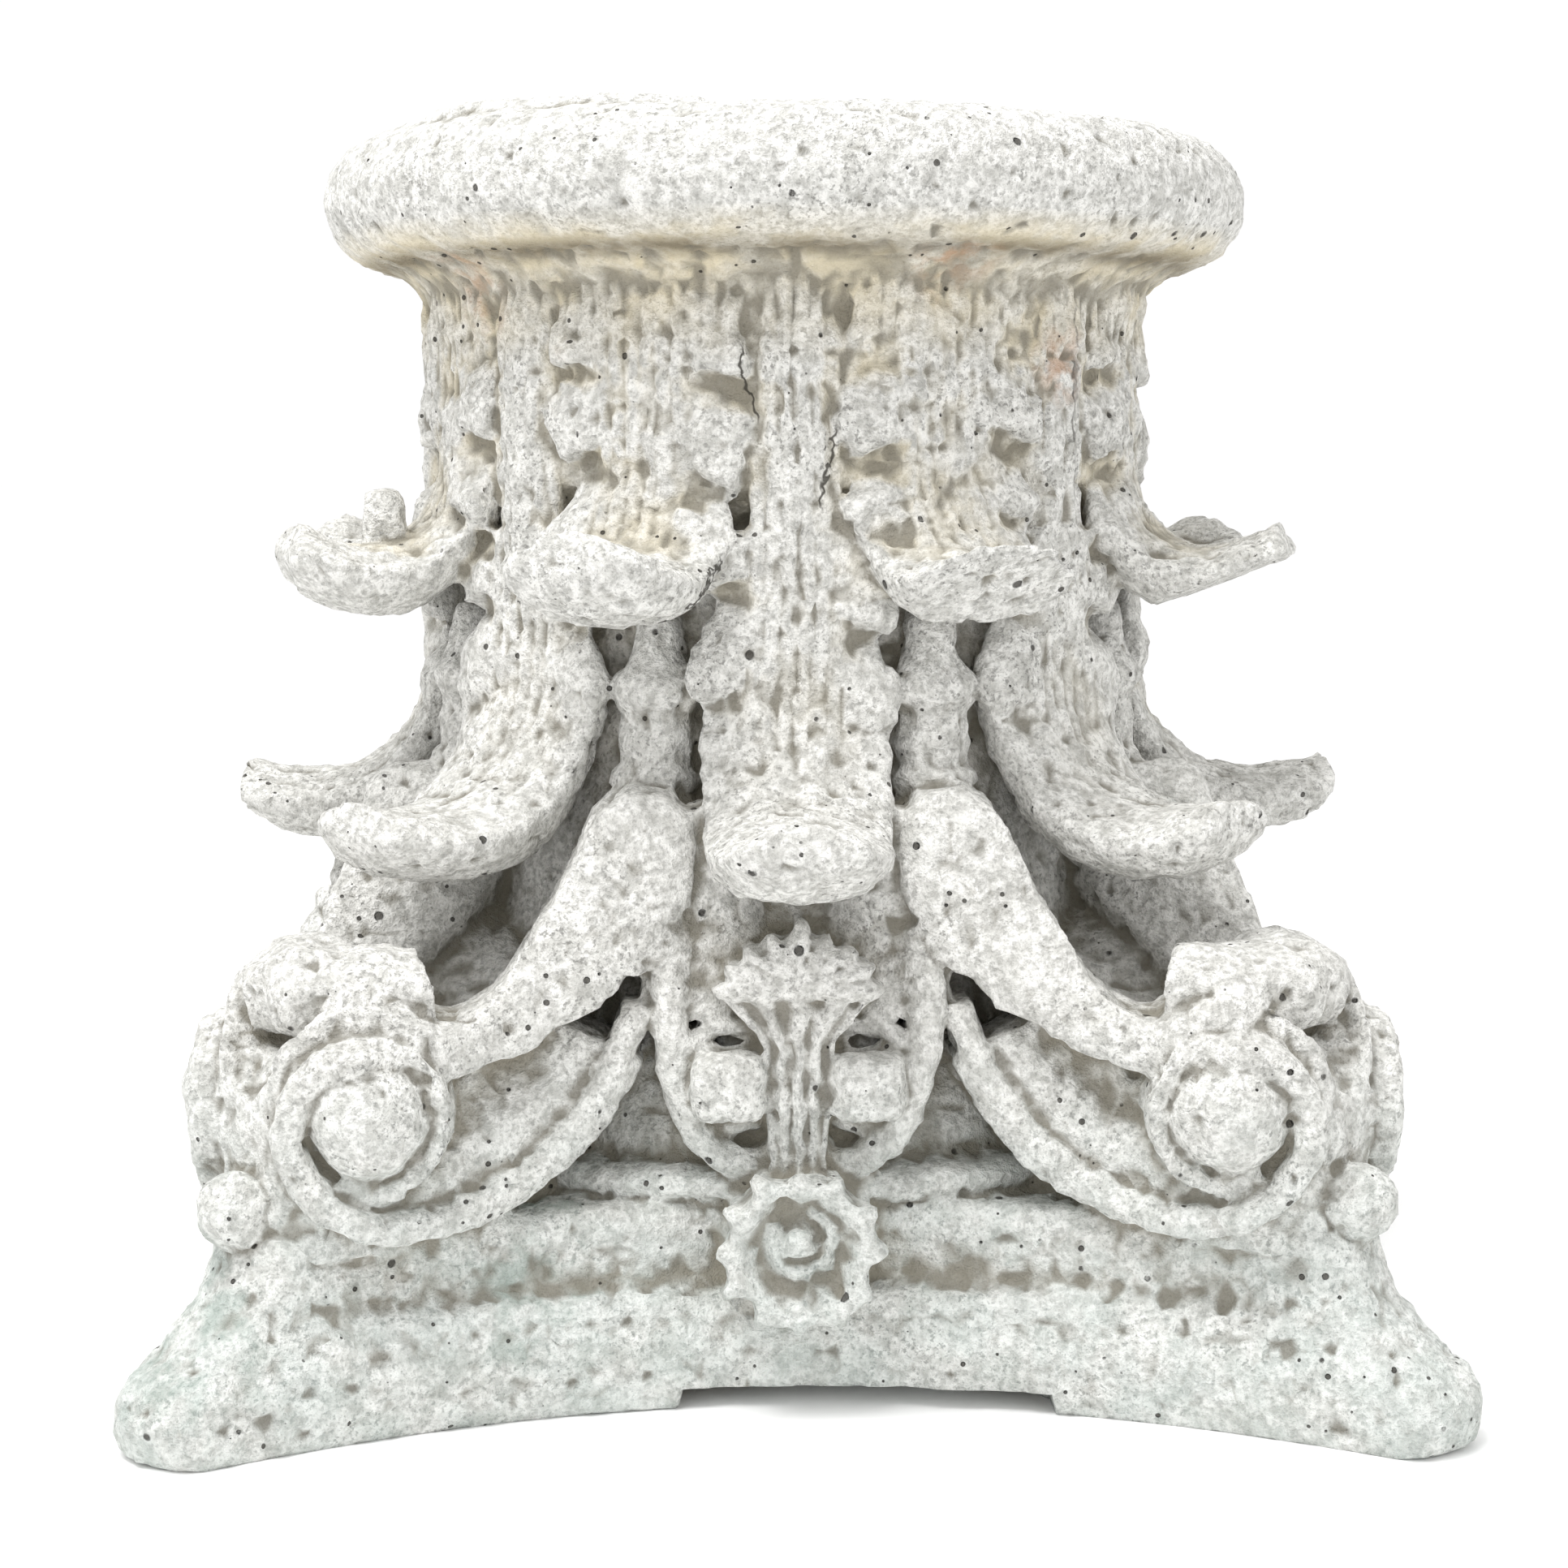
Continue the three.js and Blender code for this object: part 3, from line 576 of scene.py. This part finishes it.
def build_stem(shells):
    """Fluted stem, the serrated palmette that leans out over it, and the wall behind them."""
    wall = [
        (0, ABACUS_HEIGHT + 10, 30, 6, 30),
        (0, PALMETTE_BASE, 28, 4, 30),
        (0, STALK_FOOT - 34, 26, 0, 30),
        (0, STALK_FOOT - 12, 24, -7, 30),
        (0, STALK_FOOT + 20, 20, -14, 30),
    ]
    strip(shells, curve_through(wall, 20), lambda s, t: -2 * s * s)
    rings = []
    share = np.linspace(-1, 1, 41)
    for level in np.linspace(INNER_EYE_LEVEL - 30, PALMETTE_BASE + 2, 40):
        t = (level - INNER_EYE_LEVEL + 30) / (PALMETTE_BASE - INNER_EYE_LEVEL + 32)
        flare = smoothstep(PALMETTE_BASE - 20, PALMETTE_BASE + 4, level) ** 1.4
        half = STEM_HALF * blend(0.72, 1.0, t**0.7) + 13 * flare
        flute = 2.2 * np.cos(share * np.pi * 4) - 3.5 * share**2
        front = np.stack([share * half, -(INNER_FACE + 4 + 5 * t + flute), np.full(41, level)], -1)
        back = np.array([[half, -INNER_FACE + 34, level], [-half, -INNER_FACE + 34, level]])
        rings.append(np.vstack([front, back]))
    shells.loft(rings)
    angle = np.radians(np.linspace(180, 0, 121))
    saw = (np.degrees(angle) / 180 * PALMETTE_TEETH) % 1
    edge = 1 - 0.2 * np.abs(saw - 0.5) * 2
    spike = 1 + 0.22 * np.exp(-((np.degrees(angle) - 88) / 8) ** 2)
    ribs = np.cos(np.degrees(angle) / 180 * PALMETTE_TEETH * 2 * np.pi)
    rings = []
    # Each ring of the palmette has its reach, lift, size and depth of ribs
    for out, lift, size, relief in (
        (-34, -2, 0.8, 0),
        (-6, 0, 0.93, 0),
        (4, 0, 1.0, 0.4),
        (9, 0.5, 0.97, 0.8),
        (11, 1.5, 0.85, 1.2),
        (13, 3, 0.6, 1.5),
        (13, 4, 0.3, 1.0),
    ):
        radius = np.stack([PALMETTE_HALF * np.cos(angle), PALMETTE_HEIGHT * np.sin(angle)], -1)
        radius *= (size * edge * spike)[:, None]
        rings.append(np.stack([radius[:, 0], -(INNER_FACE + out - relief * ribs),
                               PALMETTE_BASE + lift + radius[:, 1]], -1))
    shells.loft(rings)


def build_flower(shells):
    """Flower on the abacus: notched petals, a hollow ring and a bud with a curled tail."""
    angle = np.linspace(0, 2 * np.pi, 168, endpoint=False)
    lobes = 0.5 + 0.5 * np.cos(angle * FLOWER_LOBES)
    teeth = 0.5 + 0.5 * np.cos(angle * FLOWER_LOBES * 2)
    front = FLOWER_REACH
    rings = []
    circle = np.column_stack([np.cos(angle), np.sin(angle), angle * 0])
    wander = 1 + 0.07 * lattice_noise(circle, 0.35, 17)
    # Each ring of the flower has its reach, size and depth of the cuts between petals
    for out, size, cut in (
        (-46, 0.86, 0),
        (-12, 0.9, 0.1),
        (-5, 1.0, 0.16),
        (-1, 0.96, 0.14),
        (0, 0.84, 0.08),
        (-1, 0.7, 0.03),
        (-4, 0.6, 0),
        (-7, 0.5, 0),
        (-8, 0.36, 0),
        (-8, 0.1, 0),
    ):
        radius = FLOWER_RADIUS * size * (1 - cut * (1 - lobes) - cut * 0.4 * (1 - teeth)) * wander
        height = front + out + (1.3 * lobes if 0.55 < size < 0.99 else 0)
        rings.append(np.stack([np.cos(angle) * radius, -height * np.ones_like(angle),
                               FLOWER_LEVEL + np.sin(angle) * radius], -1))
    shells.loft(rings)
    shells.ball(FLOWER_RADIUS * 0.2, (0, -(front - 4), FLOWER_LEVEL + 3), (1, 1, 1))
    turn = np.linspace(0.3, 5.4, 40)
    radius = np.linspace(0.36, 0.32, 40) * FLOWER_RADIUS
    tail = np.column_stack([np.sin(turn) * radius, FLOWER_LEVEL + 3 + np.cos(turn) * radius * 1.05,
                            np.full(40, 1.9), np.full(40, front - 6 - FACE_MIDDLE), np.full(40, 12)])
    strip(shells, tail, lambda s, t: 2 - 2 * s * s, across=7)


def build_stalk(shells):
    """Stalk with two collars that the spirals grow from."""
    top = STALK_FOOT + STALK_HEIGHT
    r = STALK_RADIUS
    profile = curve_through([
        (1, STALK_FOOT - 14),
        (r * 0.9, STALK_FOOT - 12),
        (r * 0.95, STALK_FOOT + 4),
        (r * 1.12, STALK_FOOT + 9),
        (r * 1.1, STALK_FOOT + 12),
        (r * 0.9, STALK_FOOT + 15),
        (r * 0.94, STALK_FOOT + 24),
        (r * 0.85, top - 35),
        (r * 1.0, top - 32),
        (r * 1.1, top - 28),
        (r * 1.08, top - 23),
        (r * 0.85, top - 19),
        (r * 0.66, top - 12),
        (r * 0.55, top),
        (1, top + 2),
    ], 70)
    angle = np.linspace(0, 2 * np.pi, 60, endpoint=False)
    flute = 1 - 0.07 * np.abs(np.sin(angle * 5))
    out = math.sqrt((NECK_RADIUS + r * 0.55) ** 2 - STALK_OUT**2)
    rings = [np.stack([-STALK_OUT + radius * flute * np.cos(angle), -out + radius * flute * np.sin(angle),
                       np.full(60, level)], -1) for radius, level in profile]
    shells.loft(rings)


def build_corner(shells):
    """Smooth hollow behind the corner leaf, the mass of the horn under it, and a small bead."""
    outward = np.array([1, -1]) / math.sqrt(2)
    aside = np.array([1, 1]) / math.sqrt(2)
    sections = curve_through([(110, 160, 34), (143, 150, 36), (177, 127, 38), (215, 128, 36), (246, 132, 28),
                              (262, 116, 14)], 50)
    foot = ABACUS_HEIGHT - 8
    share = np.linspace(-1, 1, 25)
    rings = []
    for out, level, half in sections:
        across = share * half
        height = level + 20 * share**2 - 4
        flat = outward * out + across[:, None] * aside
        top = np.column_stack([flat, height])
        low = np.column_stack([flat[[-1, 0]], [foot, foot]])
        rings.append(np.vstack([top, low]))
    shells.loft(rings)
    out = HORN_REACH - HORN_FLARE - 9
    shells.ball(BEAD_RADIUS, (out, -out, ABACUS_HEIGHT + BEAD_RADIUS - 5))


def build_side():
    """Everything on one side of the capital, with its right-hand horn."""
    left = Shells()
    build_volute(left)
    build_sheath(left)
    build_inner_spiral(left)
    build_stalk(left)
    side = Shells()
    side.merge(left)
    side.merge(left.mirrored())
    build_stem(side)
    build_flower(side)
    build_corner(side)
    return side


def turned_copies_tree():
    """Geometry Nodes tree that turns copies of a mesh round the upright axis."""
    tree = bpy.data.node_groups.new("Turned copies", "GeometryNodeTree")
    face = tree.interface
    face.new_socket("Geometry", in_out="INPUT", socket_type="NodeSocketGeometry")
    face.new_socket("Copies", in_out="INPUT", socket_type="NodeSocketInt").default_value = 4
    face.new_socket("First turn", in_out="INPUT", socket_type="NodeSocketFloat").default_value = 0
    face.new_socket("Material", in_out="INPUT", socket_type="NodeSocketMaterial")
    face.new_socket("Geometry", in_out="OUTPUT", socket_type="NodeSocketGeometry")

    add = partial(add_node, tree)
    given = add("NodeGroupInput").node.outputs
    points = add("GeometryNodePoints", {"Count": given["Copies"]})
    step = add("ShaderNodeMath", {0: 2 * math.pi, 1: given["Copies"]}, operation="DIVIDE")
    index = add("GeometryNodeInputIndex")
    turn = add("ShaderNodeMath", {0: index, 1: step, 2: given["First turn"]}, operation="MULTIPLY_ADD")
    rotation = add("ShaderNodeCombineXYZ", {"Z": turn})
    placed = add("GeometryNodeInstanceOnPoints", {"Points": points, "Instance": given["Geometry"],
                                                  "Rotation": rotation})
    real = add("GeometryNodeRealizeInstances", {0: placed})
    finish = add("GeometryNodeSetMaterial", {"Geometry": real, "Material": given["Material"]})
    add("NodeGroupOutput", {0: finish})
    return tree


def turned_copies(tree, shells, name, copies, first_turn, material):
    """Vertices and triangles of the copies, in millimetres."""
    made = shells.to_object(name)
    modifier = made.modifiers.new("Turned copies", "NODES")
    modifier.node_group = tree
    named = {item.name: item.identifier for item in tree.interface.items_tree if item.in_out == "INPUT"}
    modifier[named["Copies"]] = copies
    modifier[named["First turn"]] = math.radians(first_turn)
    modifier[named["Material"]] = material
    made.update_tag()
    mesh = applied(made)
    points = vertex_array(mesh) / MM
    faces = np.empty(len(mesh.polygons) * 3, int)
    mesh.polygons.foreach_get("vertices", faces)
    bpy.data.meshes.remove(mesh)
    return points, faces.reshape(-1, 3)


def press_to_plane(points, chosen, anchor, normal):
    """Moves the chosen points that lie beyond a plane back onto it, as a clean break does."""
    normal = unit(np.asarray(normal, float))
    beyond = (points - anchor) @ normal
    beyond = np.where(chosen & (beyond > 0), beyond, 0)
    return points - beyond[:, None] * normal


def damage_leaves(points):
    """Split tip at the front right, blunt tip at the right, and a snapped tip of a lower leaf at the left."""
    row = UPPER_ROW
    turn = np.degrees(np.arctan2(points[:, 0], -points[:, 1]))
    out = np.hypot(points[:, 0], points[:, 1])

    def near(angle, low, high, from_radius):
        level = points[:, 2]
        return (np.abs(turn - angle) < 20) & (level > low) & (level < high) & (out > from_radius)

    def outward(angle):
        return np.array([math.sin(math.radians(angle)), -math.cos(math.radians(angle)), 0])

    up = np.array([0, 0, 1])
    split = outward(22.5)
    edge = split * (row["reach"] - 10) + up * (row["dip"] + 6)
    chosen = near(22.5, 240, 330, 146)
    points = press_to_plane(points, chosen, edge, split * 0.7 - up * 0.72)
    points = press_to_plane(points, chosen, edge, split + up * 0.05)
    worn = outward(67.5)
    chosen = near(67.5, 240, 330, 150)
    edge = worn * row["reach"] + up * (row["tip"] - 14)
    points = press_to_plane(points, chosen, edge, worn * 0.36 - up * 0.93)
    low = LOWER_ROW
    snapped = outward(-90)
    chosen = near(-90, 150, 240, 160)
    return press_to_plane(points, chosen, snapped * (low["reach"] - 3), snapped)


def remeshed(shells, voxel):
    """One skin over all the overlapping shells."""
    source = shells.to_object("shells")
    modifier = source.modifiers.new("Skin", "REMESH")
    modifier.mode = "VOXEL"
    modifier.voxel_size = voxel * MM
    return applied(source)


def vertex_array(mesh, what="co"):
    values = np.empty(len(mesh.vertices) * 3)
    mesh.vertices.foreach_get(what, values)
    return values.reshape(-1, 3)


def edge_array(mesh):
    edges = np.empty(len(mesh.edges) * 2, int)
    mesh.edges.foreach_get("vertices", edges)
    return edges.reshape(-1, 2)


def relaxed(values, edges, rounds):
    """Values averaged with their neighbours along the edges, a number of times."""
    count = len(values)
    a, b = edges.T
    share = np.bincount(np.concatenate([a, b]), minlength=count)[:, None]
    for _ in range(rounds):
        total = np.empty_like(values)
        for k in range(values.shape[1]):
            total[:, k] = np.bincount(a, values[b, k], count) + np.bincount(b, values[a, k], count)
        values = 0.4 * values + 0.6 * total / share
    return values


def wear(mesh):
    """Softens edges, then roughens the skin: lumps, grain and small holes, deeper on proud edges."""
    edges = edge_array(mesh)
    points = vertex_array(mesh) / MM
    points = relaxed(points, edges, 1)
    mesh.vertices.foreach_set("co", (points * MM).ravel())
    mesh.update()
    normals = vertex_array(mesh, "normal")
    proud = np.einsum("ij,ij->i", points - relaxed(points, edges, 8), normals)
    lumps = lattice_noise(points, 21, 1) * 0.7 + lattice_noise(points, 9, 2) * 0.5
    grain = lattice_noise(points, 4.2, 3) * 0.55 + lattice_noise(points, 2.4, 4) * 0.5
    bites = np.maximum(lattice_noise(points, 6.5, 5) - 0.42, 0) * 3.6
    quiet = smoothstep(NECK_TOP, MOULDING_FOOT, points[:, 2]) * 0.3
    change = (lumps + grain) * (1 - quiet) - bites - 0.5 * np.clip(proud, 0, 1.5)
    flat_foot = smoothstep(0, 3, points[:, 2])
    wander = np.column_stack([lattice_noise(points, 7, 41 + k) for k in range(3)]) * 0.8
    points = points + (normals * change[:, None] + wander) * flat_foot[:, None]
    points[:, 2] = np.maximum(points[:, 2], 0)
    mesh.vertices.foreach_set("co", (points * MM).ravel())
    mesh.update()


def chip_foot(points):
    """Thin recess broken out of the foot of the front face."""
    x, y, z = points.T
    ragged = RECESS_HALF + RECESS_RAGGED * lattice_noise(points, 12, 6)
    inside = (np.abs(x - RECESS_MIDDLE) < ragged) & (y < -RECESS_OUT) & (z < RECESS_HEIGHT + 0.5)
    points = points.copy()
    points[:, 2] = np.where(inside, np.maximum(z, RECESS_HEIGHT), z)
    return points


def decimated(mesh, most):
    """The mesh brought down to fewer triangles than most."""
    def stretched(points, share):
        # The front is held larger than the back while triangles go, so it keeps finer ones
        size = blend(1.0, 0.55, smoothstep(-0.12, 0.12, points[:, 1]))[:, None]
        return points * np.hstack([size, np.ones_like(size), size]) ** share

    mesh.vertices.foreach_set("co", stretched(vertex_array(mesh), 1).ravel())
    mesh.calc_loop_triangles()
    holder = scene_object("holder", mesh)
    modifier = holder.modifiers.new("Fewer", "DECIMATE")
    modifier.ratio = min(1, most / len(mesh.loop_triangles))
    result = applied(holder)
    result.vertices.foreach_set("co", stretched(vertex_array(result), -1).ravel())
    result.update()
    return result


def paint_hollows(mesh):
    """Stores how hollow each place is, finely and broadly, for painted shade and cream lime in hollows."""
    edges = edge_array(mesh)
    points = vertex_array(mesh) / MM
    normals = vertex_array(mesh, "normal")
    fine = np.einsum("ij,ij->i", relaxed(points, edges, 4) - points, normals)
    broad = np.einsum("ij,ij->i", relaxed(points, edges, 40) - points, normals)
    for name, values, span in (("hollow_fine", fine, 1.6), ("hollow_broad", broad, 9.0)):
        layer = mesh.attributes.new(name, "FLOAT", "POINT")
        layer.data.foreach_set("value", np.clip(values / span * 0.5 + 0.5, 0, 1))


def linear(hex_colour):
    """sRGB hex to linear RGBA."""
    parts = [int(hex_colour[i:i + 2], 16) / 255 for i in (1, 3, 5)]
    return [p / 12.92 if p <= 0.04045 else ((p + 0.055) / 1.055) ** 2.4 for p in parts] + [1]


def cast_stone():
    """Weathered cast stone, poured in a mould.

    The eye gets an off-white lime skin over grey grit, quite dull, with the grain's low spots painted
    darker as shade, small air holes, hairline cracks, painted shade in the hollows, a painted shadow
    line in the crevice under the moulding, cream lime under the moulding and greenish damp near the
    ground.
    """
    material = bpy.data.materials.new("cast_stone")
    material.use_nodes = True
    material.node_tree.nodes.clear()
    add = partial(add_node, material.node_tree)
    where = add("ShaderNodeTexCoord", output="Object")
    across, outward, height = add("ShaderNodeSeparateXYZ", {0: where}).node.outputs
    fine = add("ShaderNodeAttribute", output="Fac", attribute_name="hollow_fine")
    broad = add("ShaderNodeAttribute", output="Fac", attribute_name="hollow_broad")

    # Cloudy patterns by size in millimetres, with detail and roughness. Sand of under 1 mm would
    # not show in the picture, so grit is drawn 2 and 3 mm across.
    clouds = {}
    for size, detail, rough in ((34, 1, 0.6), (30, 3, 0.6), (26, 3, 0.6), (24, 3, 0.6), (16, 4, 0.6),
                                (9, 3, 0.6), (7, 3, 0.6), (3, 3, 0.7), (2, 2, 0.7)):
        clouds[size] = add("ShaderNodeTexNoise", {"Vector": where, "Scale": 1 / (size * MM),
                                                  "Detail": detail, "Roughness": rough})

    # Each mask goes between two values of its source from 0 to 1, or between its own two levels
    masks = {}
    for name, source, none, full, *levels in (
        ("hole patches", clouds[34], 0.35, 0.6),
        ("speckled patches", clouds[30], 0.4, 0.62, 0.25, 0.75),
        ("lime under moulding", clouds[26], 0.42, 0.6, 0.4, 1.0),
        ("lime in hollows", clouds[26], 0.42, 0.6, 0.3, 0.9),
        ("crevice patches", clouds[26], 0.42, 0.6, 0.35, 0.8),
        ("damp patches", clouds[24], 0.4, 0.6, 0.35, 0.9),
        ("algae patches", clouds[16], 0.44, 0.6),
        ("rust patches", clouds[9], 0.42, 0.6),
        ("tone", clouds[7], 0.44, 0.64),
        # Grey grit from the same cloud as the grain bump, darker in its low spots: partly painted shade
        ("grit", clouds[3], 0.56, 0.36),
        ("speck", clouds[2], 0.54, 0.66),
        ("damp foot", height, 140 * MM, 50 * MM),
        ("algae foot", height, 130 * MM, 20 * MM),
        ("upper part", height, 200 * MM, 360 * MM),
        ("up to moulding", height, (MOULDING_FOOT - 40) * MM, (MOULDING_FOOT - 6) * MM),
        ("under moulding", height, (MOULDING_FOOT + 12) * MM, (MOULDING_FOOT + 2) * MM),
        # Painted shadow: the next two masks place a dark line in the crevice under the round moulding
        ("up to crevice", height, (MOULDING_FOOT - 5) * MM, (MOULDING_FOOT - 1) * MM),
        ("under crevice", height, (MOULDING_FOOT + 4) * MM, MOULDING_FOOT * MM),
        ("front", outward, -90 * MM, -100 * MM),
        # Painted shade: the next two masks darken fine hollows such as pores and flutes, and broad hollows
        ("dirty pores", fine, 0.52, 0.82),
        ("dirty hollows", broad, 0.56, 0.85),
        ("hollows", broad, 0.46, 0.6),
    ):
        least, most = levels or (0, 1)
        masks[name] = add("ShaderNodeMapRange", {"Value": source, "From Min": none, "From Max": full,
                                                 "To Min": least, "To Max": most})

    def near(spots):
        """1 in the middle of each spot of place and radius, fading to 0 at the radius."""
        total = 0.0
        for x, y, z, radius in spots:
            away = add("ShaderNodeVectorMath", {0: where, 1: (x * MM, y * MM, z * MM)}, "Value",
                       operation="DISTANCE")
            here = add("ShaderNodeMapRange", {"Value": away, "From Min": radius * MM,
                                              "From Max": radius * 0.35 * MM})
            total = add("ShaderNodeMath", {0: here, 1: total}, operation="MAXIMUM")
        return total

    def crack(x, z_low, z_high, lean, wander_mm):
        """What marks a thin wandering line on the front: the line, its two ends and the front."""
        cloud = add("ShaderNodeTexNoise", {"Vector": where, "Scale": 1 / (wander_mm * MM), "Detail": 3,
                                           "Roughness": 0.6})
        wander = add("ShaderNodeMapRange", {"Value": cloud, "To Min": -8 * MM, "To Max": 8 * MM})
        level = add("ShaderNodeMath", {0: height, 1: (z_low + z_high) / 2 * MM}, operation="SUBTRACT")
        course = add("ShaderNodeMath", {0: level, 1: lean, 2: wander}, operation="MULTIPLY_ADD")
        beside = add("ShaderNodeMath", {0: across, 1: x * MM}, operation="SUBTRACT")
        beside = add("ShaderNodeMath", {0: beside, 1: course}, operation="SUBTRACT")
        away = add("ShaderNodeMath", {0: beside}, operation="ABSOLUTE")
        parts = [masks["front"]]
        for source, none, full in ((away, 0.75, 0.3), (height, z_low, z_low + 4), (height, z_high, z_high - 4)):
            parts.append(add("ShaderNodeMapRange", {"Value": source, "From Min": none * MM,
                                                    "From Max": full * MM}))
        return parts

    def holes(spacing, largest, patches):
        """Round air holes in cells of a spacing in millimetres, the largest as a share of a cell."""
        cells = add("ShaderNodeTexVoronoi", {"Vector": where, "Scale": 1 / (spacing * MM)}).node.outputs
        size = add("ShaderNodeSeparateColor", {0: cells["Color"]})
        size = add("ShaderNodeMath", {0: size, 1: patches}, operation="MULTIPLY")
        size = add("ShaderNodeMath", {0: size, 1: largest}, operation="MULTIPLY")
        inside = add("ShaderNodeMath", {0: size, 1: cells["Distance"]}, operation="SUBTRACT")
        return add("ShaderNodeMapRange", {"Value": inside, "From Max": 0.04})

    small, large = holes(6.5, 0.2, masks["hole patches"]), holes(15, 0.13, 1.0)
    hole = add("ShaderNodeMath", {0: small, 1: large}, operation="MAXIMUM")

    # Over the pale lime skin lie greyer lime, grit that also paints shade into the grain's low spots,
    # dark specks, damp, cream lime, a painted shadow line in the crevice under the moulding, rust,
    # algae, painted shade in pores, painted shade in hollows, and last the holes and cracks. Each has
    # its colour and then its marks. A mark is the product of its masks and its strength, and where
    # marks meet the stronger one counts.
    colour = linear("#ECEBE7")
    for paint, *marks in (
        ("#CBCAC5", (masks["tone"],)),
        # Grey grit, which is also painted shade in the low spots of the grain bump
        ("#A5A49F", (masks["grit"], 0.7)),
        ("#7F7E7A", (masks["speck"], masks["speckled patches"])),
        ("#C6D3D0", (masks["damp foot"], masks["damp patches"], 0.35)),
        ("#DCD0B2",
         (masks["up to moulding"], masks["under moulding"], masks["lime under moulding"], 0.85),
         (masks["upper part"], masks["hollows"], masks["lime in hollows"], 0.85)),
        # Painted shadow: a dark brown line in the crevice just under the round moulding, in patches
        ("#6B6251", (masks["up to crevice"], masks["under crevice"], masks["crevice patches"])),
        ("#B98F6C", (near(RUST), masks["rust patches"], 0.65)),
        ("#93A29A",
         (near(ALGAE), masks["algae patches"], 0.6),
         (masks["algae foot"], 0.35, masks["algae patches"], 0.6)),
        # Painted shade: darker grey in fine hollows and in broad hollows, where shade falls
        ("#7A766B", (masks["dirty pores"], 0.8)),
        ("#9A9484", (masks["dirty hollows"], 0.6)),
        ("#3B3832", (hole, 0.88), *((*crack(*one), 0.88) for one in CRACKS)),
    ):
        amount = 0.0
        for first, *others in marks:
            mark = first
            for factor in others:
                mark = add("ShaderNodeMath", {0: mark, 1: factor}, operation="MULTIPLY")
            amount = add("ShaderNodeMath", {0: mark, 1: amount}, operation="MAXIMUM")
        colour = add("ShaderNodeMix", {0: amount, 6: colour, 7: linear(paint)}, 2, data_type="RGBA")

    grain = add("ShaderNodeBump", {"Height": clouds[3], "Distance": 2.2 * MM, "Strength": 1.0})
    dent = add("ShaderNodeBump", {"Height": hole, "Distance": 1.8 * MM, "Strength": 1.0, "Normal": grain},
               invert=True)
    shader = add("ShaderNodeBsdfPrincipled", {"Base Color": colour, "Roughness": 0.92, "IOR": 1.45,
                                              "Specular IOR Level": 0.25, "Normal": dent})
    add("ShaderNodeOutputMaterial", {"Surface": shader})
    return material


def build_capital(material):
    """The whole capital as one mesh object at the origin."""
    tree = turned_copies_tree()
    shells = Shells()
    shells.turned(moulding_section(), 200)
    build_abacus(shells)
    build_lump(shells)
    for row, seeds in ((UPPER_ROW, (3, 21)), (LOWER_ROW, (8, 34))):
        # Two kinds of leaf take turns, so that neighbours differ
        for kind, seed in enumerate(seeds):
            turn = row["turn"] + kind * 360 / LEAVES_IN_ROW
            leaf = build_leaf(row, seed)
            points, faces = turned_copies(tree, leaf, "leaves", LEAVES_IN_ROW // 2, turn, material)
            swell = lattice_noise(points, 30, seed) * 2 + lattice_noise(points, 11, seed + 1) * 1.2
            points = points + swell[:, None] * unit(points * (1, 1, 0))
            shells.add(damage_leaves(points), faces)
    # Stub of a lobe that broke off over the left leaf of the upper row
    shells.ball(STUB_RADIUS, STUB_PLACE, (1, 0.9, 1.3), 0.6)
    points, faces = turned_copies(tree, build_side(), "sides", SIDES, 0, material)
    shells.add(points, faces)
    skin = remeshed(shells, VOXEL)
    wear(skin)
    points = chip_foot(damage_leaves(vertex_array(skin) / MM))
    skin.vertices.foreach_set("co", (points * MM).ravel())
    skin = decimated(skin, MOST_TRIANGLES)
    paint_hollows(skin)
    skin.name = "capital_stone"
    skin.materials.clear()
    skin.materials.append(material)
    skin.shade_smooth()
    return scene_object("capital_stone", skin)


def place_camera():
    """The photo's view: about 1.1 m away, a little to the left and looking slightly down."""
    down = math.radians(CAMERA_DOWN)
    left = math.radians(CAMERA_LEFT)
    data = bpy.data.cameras.new("camera")
    data.sensor_width = SENSOR
    data.lens = SENSOR * FOCAL_PIXELS / PHOTO_PIXELS
    camera = scene_object("camera", data)
    camera.location = (-math.sin(left) * CAMERA_DISTANCE, -math.cos(left) * CAMERA_DISTANCE, CAMERA_HEIGHT)
    camera.rotation_euler = (math.pi / 2 - down, 0, -left)
    bpy.context.scene.camera = camera


def area_light(name, place, target, size, power):
    data = bpy.data.lights.new(name, "AREA")
    data.energy = power
    data.size = size
    light = scene_object(name, data)
    light.location = place
    light.rotation_euler = (Vector(target) - Vector(place)).to_track_quat("-Z", "Y").to_euler()


def studio():
    """Plain white floor, even white surroundings and one soft light from above and in front."""
    mesh = bpy.data.meshes.new("floor")
    half = FLOOR_HALF
    corners = [(-half, -half, 0), (half, -half, 0), (half, half, 0), (-half, half, 0)]
    mesh.from_pydata(corners, [], [(0, 1, 2, 3)])
    floor = scene_object("floor", mesh)
    paper = bpy.data.materials.new("floor")
    paper.use_nodes = True
    shader = paper.node_tree.nodes["Principled BSDF"]
    shader.inputs["Base Color"].default_value = linear("#FFFFFF")
    shader.inputs["Roughness"].default_value = 0.9
    mesh.materials.append(paper)
    world = bpy.data.worlds.new("world")
    bpy.context.scene.world = world
    world.use_nodes = True
    sky = world.node_tree.nodes["Background"]
    sky.inputs["Color"].default_value = linear("#FFFFFF")
    sky.inputs["Strength"].default_value = SKY_STRENGTH
    area_light("above", LIGHT_PLACE, LIGHT_TARGET, LIGHT_SIZE, LIGHT_POWER)
    bpy.context.scene.view_settings.view_transform = "Standard"


stone = cast_stone()
capital = build_capital(stone)
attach(capital, "root")
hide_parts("capital")
place_camera()
studio()
